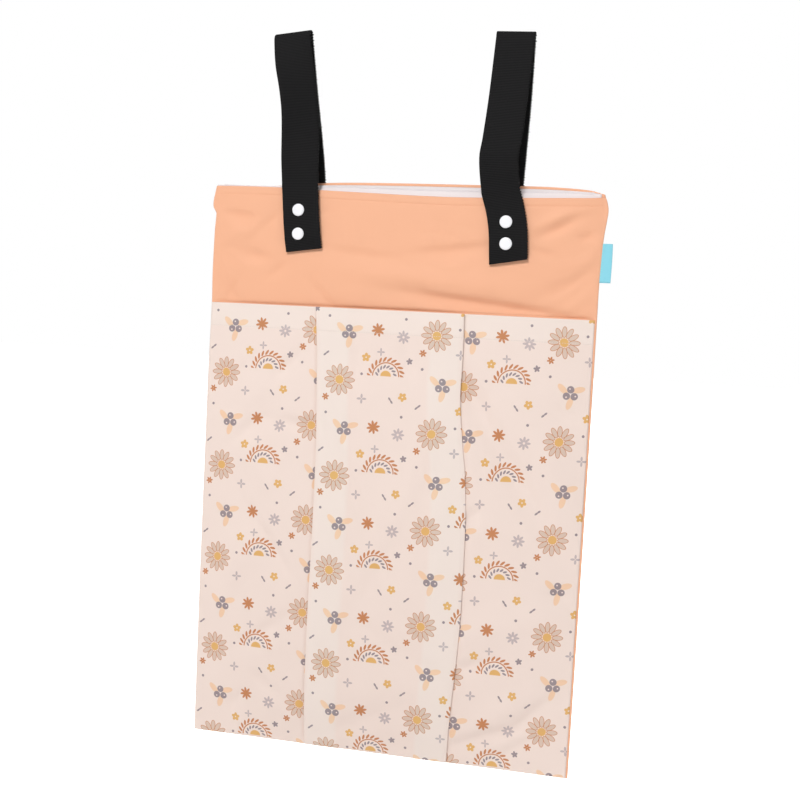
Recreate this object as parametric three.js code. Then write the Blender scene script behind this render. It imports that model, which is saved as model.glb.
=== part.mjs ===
// A hanging wet bag: a flat sewn sack with a zipped mouth, a printed front pocket with one box pleat,
// and two webbing loops that are sewn on the back and snapped on the front.
//
// Millimetres. +Z is up, -Y is the front, +X is to the right as seen from the front.
// The origin is the axis of the rail that passes through both loops, above the middle of the bag.
import * as THREE from "three";

// Body
const bagWidth = 400;
const bagHeight = 582;
const railHeight = 150; // from the mouth's corners up to the rail's axis
const bodyCloth = 1.2; // wall of the waterproof body cloth
const hemCloth = 2; // the same cloth folded double at the mouth
const hemHeight = 9;
const frontBellyDepth = 7.5; // how far the front panel stands forward of the side seams
const backBellyDepth = 8;
const frontSag = 6; // the front edge hangs this much lower in the middle
const backRise = 8; // the back edge stands this much higher in the middle
const foldHeight = 2.4; // the deepest drape fold in the body cloth
const cornerKick = 3.6; // how far the turned corners stick out at the ends of the zip
const seatGap = 0.3; // between pieces that are sewn or seated on each other

// Pocket
const pocketCloth = 1;
const pocketDrop = 121; // from the mouth's corners down to the pocket's mouth
const pocketRoom = 6.4; // between the front panel and the pocket, where it is fullest
const pocketInsetLeft = 0.4;
const pocketInsetRight = 2.6; // the body's side seam shows beside the print here
const pleatLeft = 76; // outer folds of the box pleat, from the bag's middle
const pleatRight = 77;
const pleatReturn = 33; // how far the cloth runs back under the pleat
const layerGap = 0.6; // between the pleat's layers of cloth
const pleatLift = 2.2; // how far the pleat's face swells forward
const pocketFoldHeight = 2;

// Straps
const strapWidth = 38;
const strapCloth = 1.6;
const crownRadius = 5; // inside of the loop's bend over the rail
const strapTailBack = 62; // from the mouth's corners down to the ends of the strap
const strapTailLeft = 64;
const strapTailRight = 68;
const snapStandOff = 3.4; // room between the strap's tail and the front panel
const strapBow = 9; // how far a slack strap leg stands out between rail and mouth
const strapTwist = 25; // degrees that the left strap's front leg turns out of the bag's plane

// Snaps
const capDiameter = 12.6;
const capHeight = 1.7;
const studDiameter = 7;
const studRoom = 0.8; // how far round a stud the panel is looked up, as a share of its diameter

// Zip
const tapeCloth = 1;
const coilWidth = 4.4;
const coilHeight = 1.6;
const zipShare = 0.94; // the share of the bag's width that the tapes span
const coilShare = 0.9;
const zipSlit = 0.8; // between the two tapes, under the coil
const zipRows = 20;
const tuckFront = 1.6; // how far the front tape starts below the front edge
const tuckBack = 3.4;
const zipArch = 1.8; // how far the tapes stand up at the ends of the zip
const sliderAlong = 0.5; // the slider's place, as a share of half the bag's width
const sliderSize = { width: 8.4, length: 11, height: 4.2, cheek: 1.4 };
const pullSize = { width: 4.6, length: 15, height: 1.2 };

// Tag
const tagReach = 10;
const tagHeight = 38;
const tagDrop = 46;
const tagCloth = 1.2;

const halfWidth = bagWidth / 2;
const seamHalf = (seatGap + bodyCloth) / 2; // from the seam's plane to the middle of each panel's wall

// Columns of each table below are shares, so the forms follow the named sizes.
// Fullness of the body from the mouth (down 0) to the bottom seam (down 1).
const fullnessTable = [
  { down: 0, full: 0.84 },
  { down: 0.12, full: 0.85 },
  { down: 0.3, full: 0.93 },
  { down: 0.55, full: 1 },
  { down: 0.8, full: 0.8 },
  { down: 0.94, full: 0.34 },
  { down: 1, full: 0 },
];

// Room inside the pocket, from its mouth to the bottom seam.
const pocketRoomTable = [
  { down: 0, full: 0.9 },
  { down: 0.3, full: 1 },
  { down: 0.7, full: 0.9 },
  { down: 0.9, full: 0.4 },
  { down: 1, full: 0 },
];

// The outer folds of the pleat wander as they hang: shares of pleatLeft and pleatRight.
const pleatTable = [
  { down: 0, left: 1.05, right: 0.92 },
  { down: 0.15, left: 1, right: 0.93 },
  { down: 0.32, left: 0.96, right: 1.01 },
  { down: 0.5, left: 0.96, right: 1.09 },
  { down: 0.7, left: 0.97, right: 1.08 },
  { down: 1, left: 0.97, right: 0.99 },
];

// Drape folds in the front panel above the pocket. across is a share of half the width, down a share of
// pocketDrop, long and wide shares of bagWidth, high a share of foldHeight, turn in degrees.
const bandFolds = [
  { across: -0.9, down: 0.25, turn: -8, long: 0.09, wide: 0.03, high: -0.5 },
  { across: -0.76, down: 0.58, turn: 12, long: 0.11, wide: 0.032, high: -0.5 },
  { across: -0.9, down: 0.84, turn: 58, long: 0.08, wide: 0.03, high: -0.6 },
  { across: -0.05, down: 0.42, turn: 4, long: 0.24, wide: 0.032, high: -0.45 },
  { across: 0.05, down: 0.64, turn: -3, long: 0.3, wide: 0.04, high: 0.5 },
  { across: 0.26, down: 0.86, turn: -5, long: 0.26, wide: 0.032, high: -1 },
  { across: 0.78, down: 0.26, turn: 22, long: 0.1, wide: 0.03, high: -0.7 },
  { across: 0.86, down: 0.46, turn: 8, long: 0.1, wide: 0.03, high: 0.5 },
  { across: 0.8, down: 0.7, turn: 34, long: 0.1, wide: 0.032, high: -0.5 },
];

// Folds in the pocket's two side panels: down is a share of the pocket's height.
const pocketFolds = [
  { across: -0.78, down: 0.3, turn: 22, long: 0.14, wide: 0.04, high: 0.5 },
  { across: -0.8, down: 0.93, turn: 30, long: 0.1, wide: 0.035, high: -0.7 },
  { across: 0.66, down: 0.28, turn: -62, long: 0.2, wide: 0.05, high: -0.6 },
  { across: 0.78, down: 0.52, turn: -38, long: 0.18, wide: 0.045, high: -0.5 },
  { across: 0.68, down: 0.84, turn: 36, long: 0.2, wide: 0.035, high: 0.8 },
  { across: 0.72, down: 0.93, turn: 33, long: 0.18, wide: 0.03, high: -0.8 },
];

// Strap legs from the rail (down 0) to the mouth's corners (down 1) and on to the tail (down 2).
// across is a share of halfWidth, bow of strapBow, turn is the slope of the strap's width in degrees, and
// twist is a share of strapTwist. A snap's down is a share of its front tail.
const strapTables = {
  left: {
    tails: { back: strapTailBack, front: strapTailLeft },
    back: [
      { down: 0, across: -0.608, bow: 0, turn: 7, twist: 0 },
      { down: 0.35, across: -0.575, bow: 0.3, turn: 7, twist: 0 },
      { down: 0.7, across: -0.537, bow: 0.25, turn: 5, twist: 0 },
      { down: 1, across: -0.512, bow: 0, turn: 3, twist: 0 },
      { down: 2, across: -0.505, bow: 0, turn: 0, twist: 0 },
    ],
    front: [
      { down: 0, across: -0.608, bow: 0, turn: 7, twist: 0 },
      { down: 0.18, across: -0.585, bow: 0.4, turn: 9, twist: 0.64 },
      { down: 0.34, across: -0.558, bow: 0.65, turn: 6, twist: 1 },
      { down: 0.5, across: -0.538, bow: 0.65, turn: 2, twist: 1 },
      { down: 0.65, across: -0.53, bow: 0.5, turn: 0, twist: 0.72 },
      { down: 0.82, across: -0.527, bow: 0.3, turn: 0, twist: 0.32 },
      { down: 1, across: -0.522, bow: 0, turn: 2, twist: 0.08 },
      { down: 1.5, across: -0.509, bow: 0, turn: 5, twist: 0 },
      { down: 2, across: -0.49, bow: 0, turn: 8, twist: 0 },
    ],
    snaps: [
      { across: -0.525, down: 0.37 },
      { across: -0.521, down: 0.744 },
    ],
  },
  right: {
    tails: { back: strapTailBack, front: strapTailRight },
    back: [
      { down: 0, across: 0.525, bow: 0, turn: -1, twist: 0 },
      { down: 0.4, across: 0.52, bow: 0.3, turn: -2, twist: 0 },
      { down: 0.75, across: 0.51, bow: 0.25, turn: -2, twist: 0 },
      { down: 1, across: 0.505, bow: 0, turn: 0, twist: 0 },
      { down: 2, across: 0.505, bow: 0, turn: 0, twist: 0 },
    ],
    front: [
      { down: 0, across: 0.525, bow: 0, turn: -1, twist: 0 },
      { down: 0.4, across: 0.508, bow: 0.5, turn: -3, twist: 0 },
      { down: 0.68, across: 0.492, bow: 0.85, turn: -2, twist: 0 },
      { down: 0.77, across: 0.484, bow: 1, turn: 1, twist: 0 },
      { down: 0.86, across: 0.487, bow: 0.75, turn: 4, twist: 0 },
      { down: 1, across: 0.5, bow: 0.2, turn: 8, twist: 0 },
      { down: 1.3, across: 0.53, bow: 0, turn: 6, twist: 0 },
      { down: 1.6, across: 0.547, bow: 0, turn: 4, twist: 0 },
      { down: 2, across: 0.555, bow: 0, turn: 9, twist: 0 },
    ],
    snaps: [
      { across: 0.5335, down: 0.428 },
      { across: 0.5385, down: 0.74 },
    ],
  },
};

// Smoothly interpolated value of one column of a table at a place along its down column.
function column(table, name, down) {
  const last = table.length - 1;
  let i = 0;
  while (i < last - 1 && down > table[i + 1].down) i++;
  const a = table[i];
  const b = table[i + 1];
  const before = table[Math.max(i - 1, 0)];
  const after = table[Math.min(i + 2, last)];
  const span = b.down - a.down;
  const t = THREE.MathUtils.clamp((down - a.down) / span, 0, 1);
  const slopeA = ((b[name] - before[name]) / (b.down - before.down)) * span;
  const slopeB = ((after[name] - a[name]) / (after.down - a.down)) * span;
  const t2 = t * t;
  const t3 = t2 * t;
  return (
    a[name] * (2 * t3 - 3 * t2 + 1) +
    slopeA * (t3 - 2 * t2 + t) +
    b[name] * (3 * t2 - 2 * t3) +
    slopeB * (t3 - t2)
  );
}

const bump = (distance, width) => Math.exp(-((distance / width) ** 2));

// Shares from -1 to 1 across the bag for t from 0 to 1, closer together towards the sides, where it curves.
const spread = (t) => 0.5 * (2 * t - 1) + 0.5 * Math.sin(Math.PI * (t - 0.5));

// Height of all the folds of a table at one place, where span is the height that their down column shares.
function foldsAt(table, x, drop, span, highest) {
  let sum = 0;
  for (const fold of table) {
    const dx = x - fold.across * halfWidth;
    const dz = fold.down * span - drop;
    const turn = THREE.MathUtils.degToRad(fold.turn);
    const along = dx * Math.cos(turn) + dz * Math.sin(turn);
    const beside = dz * Math.cos(turn) - dx * Math.sin(turn);
    sum += fold.high * highest * bump(along, fold.long * bagWidth) * bump(beside, fold.wide * bagWidth);
  }
  return sum;
}

// How full the body is across its width: 1 in the middle, 0 at a side seam, squarer at the mouth.
function fullnessAcross(share, down) {
  const square = THREE.MathUtils.lerp(10, 2.6, THREE.MathUtils.smoothstep(down, 0, 0.2));
  return 1 - Math.abs(share) ** square;
}

// Side outline of the body: straight, but kicked out by the turned corner just below each end of the zip.
function outlineHalf(share, drop) {
  const kick = share > 0 ? cornerKick : cornerKick * 0.3;
  return halfWidth + kick * bump(drop - 2 * hemHeight, 1.4 * hemHeight);
}

const frontEdgeDip = (share) => frontSag * bump(share - 0.3, 0.55) * (1 - Math.abs(share) ** 8);
const backEdgeRise = (share) => backRise * (1 - Math.abs(share - 0.1) ** 4 / 1.5) * (1 - share ** 12);

// Middle of a panel's wall in depth. The front one is also wanted with its drape folds.
function frontDepth(share, drop) {
  const down = THREE.MathUtils.clamp(drop / bagHeight, 0, 1);
  return -seamHalf - frontBellyDepth * fullnessAcross(share, down) * column(fullnessTable, "full", down);
}
function backDepth(share, drop) {
  const down = THREE.MathUtils.clamp(drop / bagHeight, 0, 1);
  return seamHalf + backBellyDepth * fullnessAcross(share, down) * column(fullnessTable, "full", down);
}
function frontDepthFolded(share, drop) {
  const belowHem = THREE.MathUtils.smoothstep(drop, 0, 2 * hemHeight);
  const abovePocket = 1 - THREE.MathUtils.smoothstep(drop, 0.86 * pocketDrop, pocketDrop);
  const folds = foldsAt(bandFolds, share * halfWidth, drop, pocketDrop, foldHeight);
  return frontDepth(share, drop) - folds * belowHem * abovePocket * (1 - share ** 8);
}

// A box of across x along segments whose corners are moved by place(across, side, along), where across
// and along run from 0 to 1 and side is -1 or 1, the two faces of the wall. The box itself is only a unit
// for these: it is 1 wide, 1 long and reaches from -1 to 1 between its faces.
function bentBox(acrossSegments, alongSegments, place) {
  const geometry = new THREE.BoxGeometry(1, 2, 1, acrossSegments, 1, alongSegments);
  const position = geometry.getAttribute("position");
  for (let i = 0; i < position.count; i++) {
    const across = position.getX(i) + 0.5;
    const along = position.getZ(i) + 0.5;
    const moved = place(across, Math.sign(position.getY(i)), along);
    position.setXYZ(i, moved.x, moved.y, moved.z);
  }
  geometry.deleteAttribute("normal");
  geometry.deleteAttribute("uv");
  return geometry;
}

// A wall of cloth around a surface: middle(across, along) is a point of it and wall(across, along) its
// thickness.
function clothWall(acrossSegments, alongSegments, middle, wall) {
  const step = 1e-3;
  return bentBox(acrossSegments, alongSegments, (across, side, along) => {
    const low = Math.max(along - step, 0);
    const high = Math.min(along + step, 1);
    const left = Math.max(across - step, 0);
    const right = Math.min(across + step, 1);
    const alongWay = middle(across, high).sub(middle(across, low));
    const acrossWay = middle(right, along).sub(middle(left, along));
    const normal = alongWay.cross(acrossWay).normalize();
    return middle(across, along).addScaledVector(normal, (side * wall(across, along)) / 2);
  });
}

const materials = {
  body: new THREE.MeshStandardMaterial({ color: 0xfbbf9b, roughness: 0.55, metalness: 0 }),
  print: new THREE.MeshStandardMaterial({ color: 0xf0dcd4, roughness: 0.6, metalness: 0 }),
  webbing: new THREE.MeshStandardMaterial({ color: 0x1f1f21, roughness: 0.75, metalness: 0 }),
  zip: new THREE.MeshStandardMaterial({ color: 0xf1efef, roughness: 0.6, metalness: 0 }),
  snap: new THREE.MeshStandardMaterial({ color: 0xfafafa, roughness: 0.3, metalness: 0 }),
  tag: new THREE.MeshStandardMaterial({ color: 0x8fd8e8, roughness: 0.5, metalness: 0 }),
};

// Everything is built from the mouth's corners downwards, and hung below the rail's axis.
const bag = new THREE.Group();
bag.position.z = -railHeight;

function piece(name, geometry, material) {
  const mesh = new THREE.Mesh(geometry, material);
  mesh.name = name;
  bag.add(mesh);
  return mesh;
}

// Front and back panels. along runs up from the bottom seam, and its upper part is the band above the
// pocket's mouth, where the rows are closer together.
const panelRows = 22;
const bandRows = 12;
function panelDrop(along, edge) {
  const turn = 1 - bandRows / panelRows;
  if (along < turn) return THREE.MathUtils.lerp(bagHeight, pocketDrop, along / turn);
  return THREE.MathUtils.lerp(pocketDrop, edge, (along - turn) / (1 - turn));
}

function bodyPanel(columns, edge, depth) {
  return clothWall(
    columns,
    panelRows,
    (across, along) => {
      const share = spread(across);
      const drop = panelDrop(along, edge(share));
      return new THREE.Vector3(share * outlineHalf(share, drop), depth(share, drop), -drop);
    },
    (across, along) => {
      const share = spread(across);
      const belowEdge = panelDrop(along, edge(share)) - edge(share);
      const hem = 1 - THREE.MathUtils.smoothstep(belowEdge, hemHeight, 1.6 * hemHeight);
      return bodyCloth + (hemCloth - bodyCloth) * hem * (1 - share ** 20);
    },
  );
}
piece("front_panel", bodyPanel(40, frontEdgeDip, frontDepthFolded), materials.body);
piece("back_panel", bodyPanel(16, (share) => -backEdgeRise(share), backDepth), materials.body);

// Pocket: one cloth whose section runs from the left seam through two layers of pleat on each side.
const layerPitch = pocketCloth + layerGap;
const pocketHeight = bagHeight - pocketDrop;
const pocketSeat = bodyCloth / 2 + 2 * seatGap + pocketCloth / 2;

function pocketUnder(x, drop) {
  const share = THREE.MathUtils.clamp(x / halfWidth, -1, 1);
  const down = THREE.MathUtils.clamp((drop - pocketDrop) / pocketHeight, 0, 1);
  const room = pocketRoom * (1 - Math.abs(share) ** 4) * column(pocketRoomTable, "full", down);
  return frontDepth(share, drop) - pocketSeat - room;
}
function pocketFoldLift(x, drop, outerFold) {
  const share = Math.abs(x / halfWidth);
  const fade = THREE.MathUtils.smoothstep(Math.abs(x) - outerFold, 0, 0.1 * bagWidth) * (1 - share ** 10);
  const ends = bump(drop - pocketDrop - 0.55 * pocketHeight, 0.42 * pocketHeight);
  return foldsAt(pocketFolds, x, drop - pocketDrop, pocketHeight, pocketFoldHeight) * fade * Math.sqrt(ends);
}

const sidePoints = 7;
const bendPoints = 3;
const returnPoints = 2;
const facePoints = 10;

// Middle line of the pocket's cloth at one height, from the left seam to the right one.
function pocketSection(drop) {
  const down = (drop - pocketDrop) / pocketHeight;
  const left = -pleatLeft * column(pleatTable, "left", down);
  const right = pleatRight * column(pleatTable, "right", down);
  const line = [];
  const run = (from, to, count, depth, withFirst) => {
    for (let i = withFirst ? 0 : 1; i <= count; i++) {
      const x = THREE.MathUtils.lerp(from, to, i / count);
      line.push([x, depth(x)]);
    }
  };
  // A half turn of the cloth at x, between two layers, that bulges to the right or the left.
  const bend = (x, layer, towards, outward) => {
    const radius = (Math.abs(towards - layer) * layerPitch) / 2;
    const middle = pocketUnder(x, drop) - ((layer + towards) / 2) * layerPitch;
    for (let i = 1; i <= bendPoints; i++) {
      const angle = (Math.PI * i) / bendPoints;
      const forward = towards > layer ? Math.cos(angle) : -Math.cos(angle);
      line.push([x + outward * radius * Math.sin(angle), middle + radius * forward]);
    }
  };
  const under = (outerFold) => (x) => pocketUnder(x, drop) - pocketFoldLift(x, drop, outerFold);
  const middleLayer = (x) => pocketUnder(x, drop) - layerPitch;
  const face = (x) => {
    const share = (2 * x - left - right) / (right - left);
    const lift = pleatLift * (1 - share ** 4) * Math.sin(Math.PI * down) ** 0.6;
    return pocketUnder(x, drop) - 2 * layerPitch - lift;
  };
  run(-halfWidth + pocketInsetLeft, left + pleatReturn, sidePoints, under(-left), true);
  bend(left + pleatReturn, 0, 1, 1);
  run(left + pleatReturn, left, returnPoints, middleLayer, false);
  bend(left, 1, 2, -1);
  run(left, right, facePoints, face, false);
  bend(right, 2, 1, 1);
  run(right, right - pleatReturn, returnPoints, middleLayer, false);
  bend(right - pleatReturn, 1, 0, -1);
  run(right - pleatReturn, halfWidth - pocketInsetRight, sidePoints, under(right), false);
  return line;
}

const pocketColumns = 2 * (sidePoints + returnPoints) + 4 * bendPoints + facePoints;
const pocketRows = 20;
piece(
  "pocket_panel",
  bentBox(pocketColumns, pocketRows, (across, side, along) => {
    const drop = THREE.MathUtils.lerp(bagHeight, pocketDrop, along);
    const line = pocketSection(drop);
    const i = Math.round(across * pocketColumns);
    const before = line[Math.max(i - 1, 0)];
    const after = line[Math.min(i + 1, pocketColumns)];
    const run = Math.hypot(after[0] - before[0], after[1] - before[1]);
    const normalX = -(after[1] - before[1]) / run;
    const normalY = (after[0] - before[0]) / run;
    const half = (side * pocketCloth) / 2;
    return new THREE.Vector3(line[i][0] + normalX * half, line[i][1] + normalY * half, -drop);
  }),
  materials.print,
);

// Zip: one ribbon from the front hem to the back hem, in two tapes with the coil over their slit.
function zipPoint(share, q) {
  const inner = (depth) => Math.max(Math.abs(depth) - hemCloth / 2 - seatGap - tapeCloth / 2, tapeCloth);
  const front = -inner(frontDepth(share, 0));
  const back = inner(backDepth(share, 0));
  const mix = (q + 1) / 2;
  const ends = Math.abs(share / zipShare) ** 4;
  const up = THREE.MathUtils.lerp(-frontEdgeDip(share) - tuckFront, backEdgeRise(share) - tuckBack, mix);
  return new THREE.Vector3(
    share * halfWidth,
    THREE.MathUtils.lerp(front, back, mix),
    up + (zipArch + ends) * (1 - q * q),
  );
}

// One tape, from its edge in the hem (side -1 in front, 1 behind) to the slit under the coil.
function zipTape(side) {
  return clothWall(
    2,
    zipRows,
    (across, along) => {
      const share = spread(along) * zipShare;
      const slit = zipSlit / zipPoint(share, 1).distanceTo(zipPoint(share, -1));
      const inward = side < 0 ? across : 1 - across;
      return zipPoint(share, side * THREE.MathUtils.lerp(1, slit, inward));
    },
    () => tapeCloth,
  );
}
piece("zip_tape_front", zipTape(-1), materials.zip);
piece("zip_tape_back", zipTape(1), materials.zip);

// Frame of the ribbon at its slit: a point above it, its normal and its direction across.
function zipFrame(share) {
  const across = zipPoint(share, 0.05).sub(zipPoint(share, -0.05)).normalize();
  const normal = new THREE.Vector3(1, 0, 0).cross(across).normalize();
  return { across, normal, point: zipPoint(share, 0) };
}
piece(
  "zip_coil",
  bentBox(2, zipRows, (across, side, along) => {
    const { across: over, normal, point } = zipFrame(spread(along) * coilShare);
    const q = 2 * across - 1;
    const crown = side > 0 ? 0.4 * (1 - q * q) : 0;
    const lift = tapeCloth / 2 + seatGap + coilHeight * (side > 0 ? 0.6 + crown : 0);
    return point.addScaledVector(over, (q * coilWidth) / 2).addScaledVector(normal, lift);
  }),
  materials.zip,
);

// Slider: a channel over the coil with its pull lying along the zip.
function sliderGeometry() {
  const half = sliderSize.width / 2;
  const channel = coilWidth / 2 + 2 * seatGap;
  const roof = coilHeight + 2 * seatGap;
  const profile = new THREE.Shape();
  profile.moveTo(-half, seatGap);
  profile.lineTo(-channel, seatGap);
  profile.lineTo(-channel, roof + 2 * seatGap);
  profile.lineTo(channel, roof + 2 * seatGap);
  profile.lineTo(channel, seatGap);
  profile.lineTo(half, seatGap);
  profile.lineTo(half, sliderSize.height - sliderSize.cheek);
  profile.lineTo(half - sliderSize.cheek, sliderSize.height);
  profile.lineTo(-half + sliderSize.cheek, sliderSize.height);
  profile.lineTo(-half, sliderSize.height - sliderSize.cheek);
  return new THREE.ExtrudeGeometry(profile, { depth: sliderSize.length, bevelEnabled: false });
}
function sliderPart() {
  const { across, normal, point } = zipFrame(sliderAlong);
  const along = new THREE.Vector3().crossVectors(across, normal).normalize();
  const turn = new THREE.Matrix4().makeBasis(across, normal, along);
  const geometry = sliderGeometry();
  geometry.translate(0, tapeCloth / 2, 0);
  const mesh = piece("zip_slider", geometry, materials.zip);
  mesh.setRotationFromMatrix(turn);
  mesh.position.copy(point);
}
sliderPart();
function pullPart() {
  const { across, normal, point } = zipFrame(sliderAlong);
  const along = new THREE.Vector3().crossVectors(across, normal).normalize();
  const geometry = new THREE.BoxGeometry(pullSize.width, pullSize.height, pullSize.length);
  const mesh = piece("zip_pull", geometry, materials.zip);
  mesh.setRotationFromMatrix(new THREE.Matrix4().makeBasis(across, normal, along));
  const lift = tapeCloth / 2 + coilHeight + 3 * seatGap + pullSize.height / 2;
  const aside = -seatGap - pullSize.length / 2;
  mesh.position.copy(point).addScaledVector(normal, lift).addScaledVector(along, aside);
}
pullPart();

// Straps: each is one band from its sewn tail on the back, over the rail, to its snapped tail in front.
const tailRows = 8;
const legRows = 12;
const bendRows = 8;
const crownMiddle = crownRadius + strapCloth / 2;

// One place on a leg: its middle point, and the direction over the strap's width.
function strapStation(table, leg, down) {
  const value = (name) => column(table[leg], name, down);
  const x = value("across") * halfWidth;
  const share = x / halfWidth;
  const drop = (down < 1 ? railHeight : table.tails[leg]) * (down - 1);
  const onBag = Math.max(drop, 0);
  const outward = leg === "front" ? -1 : 1;
  const seat =
    outward < 0
      ? frontDepth(share, onBag) - bodyCloth / 2 - snapStandOff - strapCloth / 2
      : backDepth(share, onBag) + hemCloth / 2 + seatGap + strapCloth / 2;
  const bow = strapBow * value("bow");
  const blend = THREE.MathUtils.smoothstep(down, 0.3, 1);
  const depth = THREE.MathUtils.lerp(outward * (crownMiddle + bow), seat, blend) + outward * bow * blend;
  const turn = THREE.MathUtils.degToRad(value("turn"));
  const twist = THREE.MathUtils.degToRad(strapTwist * value("twist"));
  return {
    point: new THREE.Vector3(x, depth, -drop),
    over: new THREE.Vector3(Math.cos(turn) * Math.cos(twist), Math.sin(twist), Math.sin(turn)),
  };
}

// The strap's middle line: rows of a point and its direction across, from the back tail to the front tail.
function strapLine(table) {
  const rows = [];
  for (let i = 0; i < tailRows; i++) rows.push(strapStation(table, "back", 2 - i / tailRows));
  for (let i = 0; i < legRows; i++) rows.push(strapStation(table, "back", 1 - i / legRows));
  const crown = strapStation(table, "front", 0);
  for (let i = 0; i <= bendRows; i++) {
    const angle = (Math.PI * i) / bendRows;
    const offset = new THREE.Vector3(0, crownMiddle * Math.cos(angle), crownMiddle * Math.sin(angle));
    const point = new THREE.Vector3(crown.point.x, 0, railHeight).add(offset);
    rows.push({ point, over: crown.over });
  }
  for (let i = 1; i <= legRows; i++) rows.push(strapStation(table, "front", i / legRows));
  for (let i = 1; i <= tailRows; i++) rows.push(strapStation(table, "front", 1 + i / tailRows));
  return rows;
}

function strapGeometry(table) {
  const rows = strapLine(table);
  const last = rows.length - 1;
  return bentBox(2, last, (across, side, along) => {
    const i = Math.round(along * last);
    const { point, over } = rows[i];
    const way = rows[Math.min(i + 1, last)].point.clone().sub(rows[Math.max(i - 1, 0)].point);
    const normal = way.cross(over).normalize();
    return point
      .clone()
      .addScaledVector(over, (across - 0.5) * strapWidth)
      .addScaledVector(normal, (side * strapCloth) / 2);
  });
}

// Snap cap: a low dome with a round rim, turned about its own axis and laid on the strap. Its half section
// is given in shares of its radius and its height.
const capSection = [
  { out: 0, up: 0 },
  { out: 0.94, up: 0 },
  { out: 1, up: 0.35 },
  { out: 0.93, up: 0.72 },
  { out: 0.6, up: 0.94 },
  { out: 0, up: 1 },
];
const capSides = 18;
const studSides = 16;
function capGeometry() {
  const profile = capSection.map(({ out, up }) => new THREE.Vector2((out * capDiameter) / 2, up * capHeight));
  return new THREE.LatheGeometry(profile, capSides);
}

// The most forward point of the front panel under a stud, looked up at its middle and round its rim.
function panelUnderStud(x, drop) {
  let front = frontDepthFolded(x / halfWidth, drop);
  for (let angle = 0; angle < 360; angle += 45) {
    const turn = THREE.MathUtils.degToRad(angle);
    const rimX = x + studRoom * studDiameter * Math.cos(turn);
    const rimDrop = drop + studRoom * studDiameter * Math.sin(turn);
    front = Math.min(front, frontDepthFolded(rimX / halfWidth, rimDrop));
  }
  return front - bodyCloth / 2;
}

// A snap: the cap lies on the strap, and the stud stands between the strap and the front panel.
function snapPieces(number, table, snap) {
  const x = snap.across * halfWidth;
  const drop = snap.down * table.tails.front;
  const { point } = strapStation(table, "front", 1 + snap.down);
  const step = 0.1;
  const before = strapStation(table, "front", 1 + snap.down - step).point;
  const after = strapStation(table, "front", 1 + snap.down + step).point;
  const lean = Math.atan2(after.y - before.y, before.z - after.z);
  const cap = piece("snap_cap_" + number, capGeometry(), materials.snap);
  cap.rotation.x = Math.PI + lean;
  cap.position.set(x, point.y - strapCloth / 2 - seatGap, -drop);
  const strapBack = point.y + strapCloth / 2 + seatGap + (studDiameter / 2) * Math.abs(Math.sin(lean));
  const panelFront = panelUnderStud(x, drop) - seatGap;
  const round = studDiameter / 2;
  const stud = new THREE.CylinderGeometry(round, round, panelFront - strapBack, studSides);
  piece("snap_stud_" + number, stud, materials.snap).position.set(x, (strapBack + panelFront) / 2, -drop);
}

let snapCount = 0;
for (const [side, table] of Object.entries(strapTables)) {
  piece("strap_" + side, strapGeometry(table), materials.webbing);
  for (const snap of table.snaps) {
    snapCount++;
    snapPieces(snapCount, table, snap);
  }
}

// Tag: a ribbon folded double and sewn into the right side seam.
const tagProfile = new THREE.Shape();
tagProfile.moveTo(0, -tagCloth / 2);
tagProfile.lineTo(tagReach - tagCloth / 2, -tagCloth / 2);
tagProfile.absarc(tagReach - tagCloth / 2, 0, tagCloth / 2, -Math.PI / 2, Math.PI / 2, false);
tagProfile.lineTo(0, tagCloth / 2);
const tag = piece(
  "side_tag",
  new THREE.ExtrudeGeometry(tagProfile, { depth: tagHeight, bevelEnabled: false, curveSegments: 4 }),
  materials.tag,
);
tag.position.set(outlineHalf(1, 0.9 * tagDrop) + seatGap, 0, -tagDrop - tagHeight);

const model = new THREE.Group();
model.add(bag);
export default model;
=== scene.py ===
# %% [markdown]
# # A hanging wet bag
#
# The real object is a flat sack of peach waterproof knit with a zip along its mouth. A printed pocket with
# one box pleat covers the front, and two loops of black webbing, sewn on behind and snapped in front, hang it
# from a rail. Every piece here is a sheet or a band, so the lesson is about cloth: laying a flat grid out in
# space, folding it at hems and pleats, and letting soft drape folds run over it.
#
# The solids from the CAD model are the frame. They give the sizes and the places, and each cloth piece
# replaces the plain solid that stands for it.

# %% Load the frame
import math

import bmesh
import bpy
from mathutils import Matrix, Vector, noise
from mathutils.bvhtree import BVHTree


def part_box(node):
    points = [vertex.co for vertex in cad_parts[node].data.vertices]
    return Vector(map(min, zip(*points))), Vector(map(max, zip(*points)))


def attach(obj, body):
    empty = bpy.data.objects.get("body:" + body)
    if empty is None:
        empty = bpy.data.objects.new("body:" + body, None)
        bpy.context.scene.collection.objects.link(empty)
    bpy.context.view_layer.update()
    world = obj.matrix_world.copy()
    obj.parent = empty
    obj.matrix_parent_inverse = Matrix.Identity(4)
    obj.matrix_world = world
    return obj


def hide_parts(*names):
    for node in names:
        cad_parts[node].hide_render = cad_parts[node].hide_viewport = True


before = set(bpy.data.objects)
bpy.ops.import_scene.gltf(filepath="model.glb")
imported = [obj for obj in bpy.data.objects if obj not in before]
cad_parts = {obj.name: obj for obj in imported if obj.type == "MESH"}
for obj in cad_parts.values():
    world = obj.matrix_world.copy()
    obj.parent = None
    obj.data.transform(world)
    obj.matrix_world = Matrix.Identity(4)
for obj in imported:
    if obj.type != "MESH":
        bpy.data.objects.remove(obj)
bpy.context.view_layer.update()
scene = bpy.context.scene
MM = 0.001

# %% [markdown]
# Places on the bag are given as x, to the right of its middle, and drop, down from the mouth's two corners.
# The corners, the pocket's mouth and the bottom seam are read from the frame's boxes.

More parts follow.
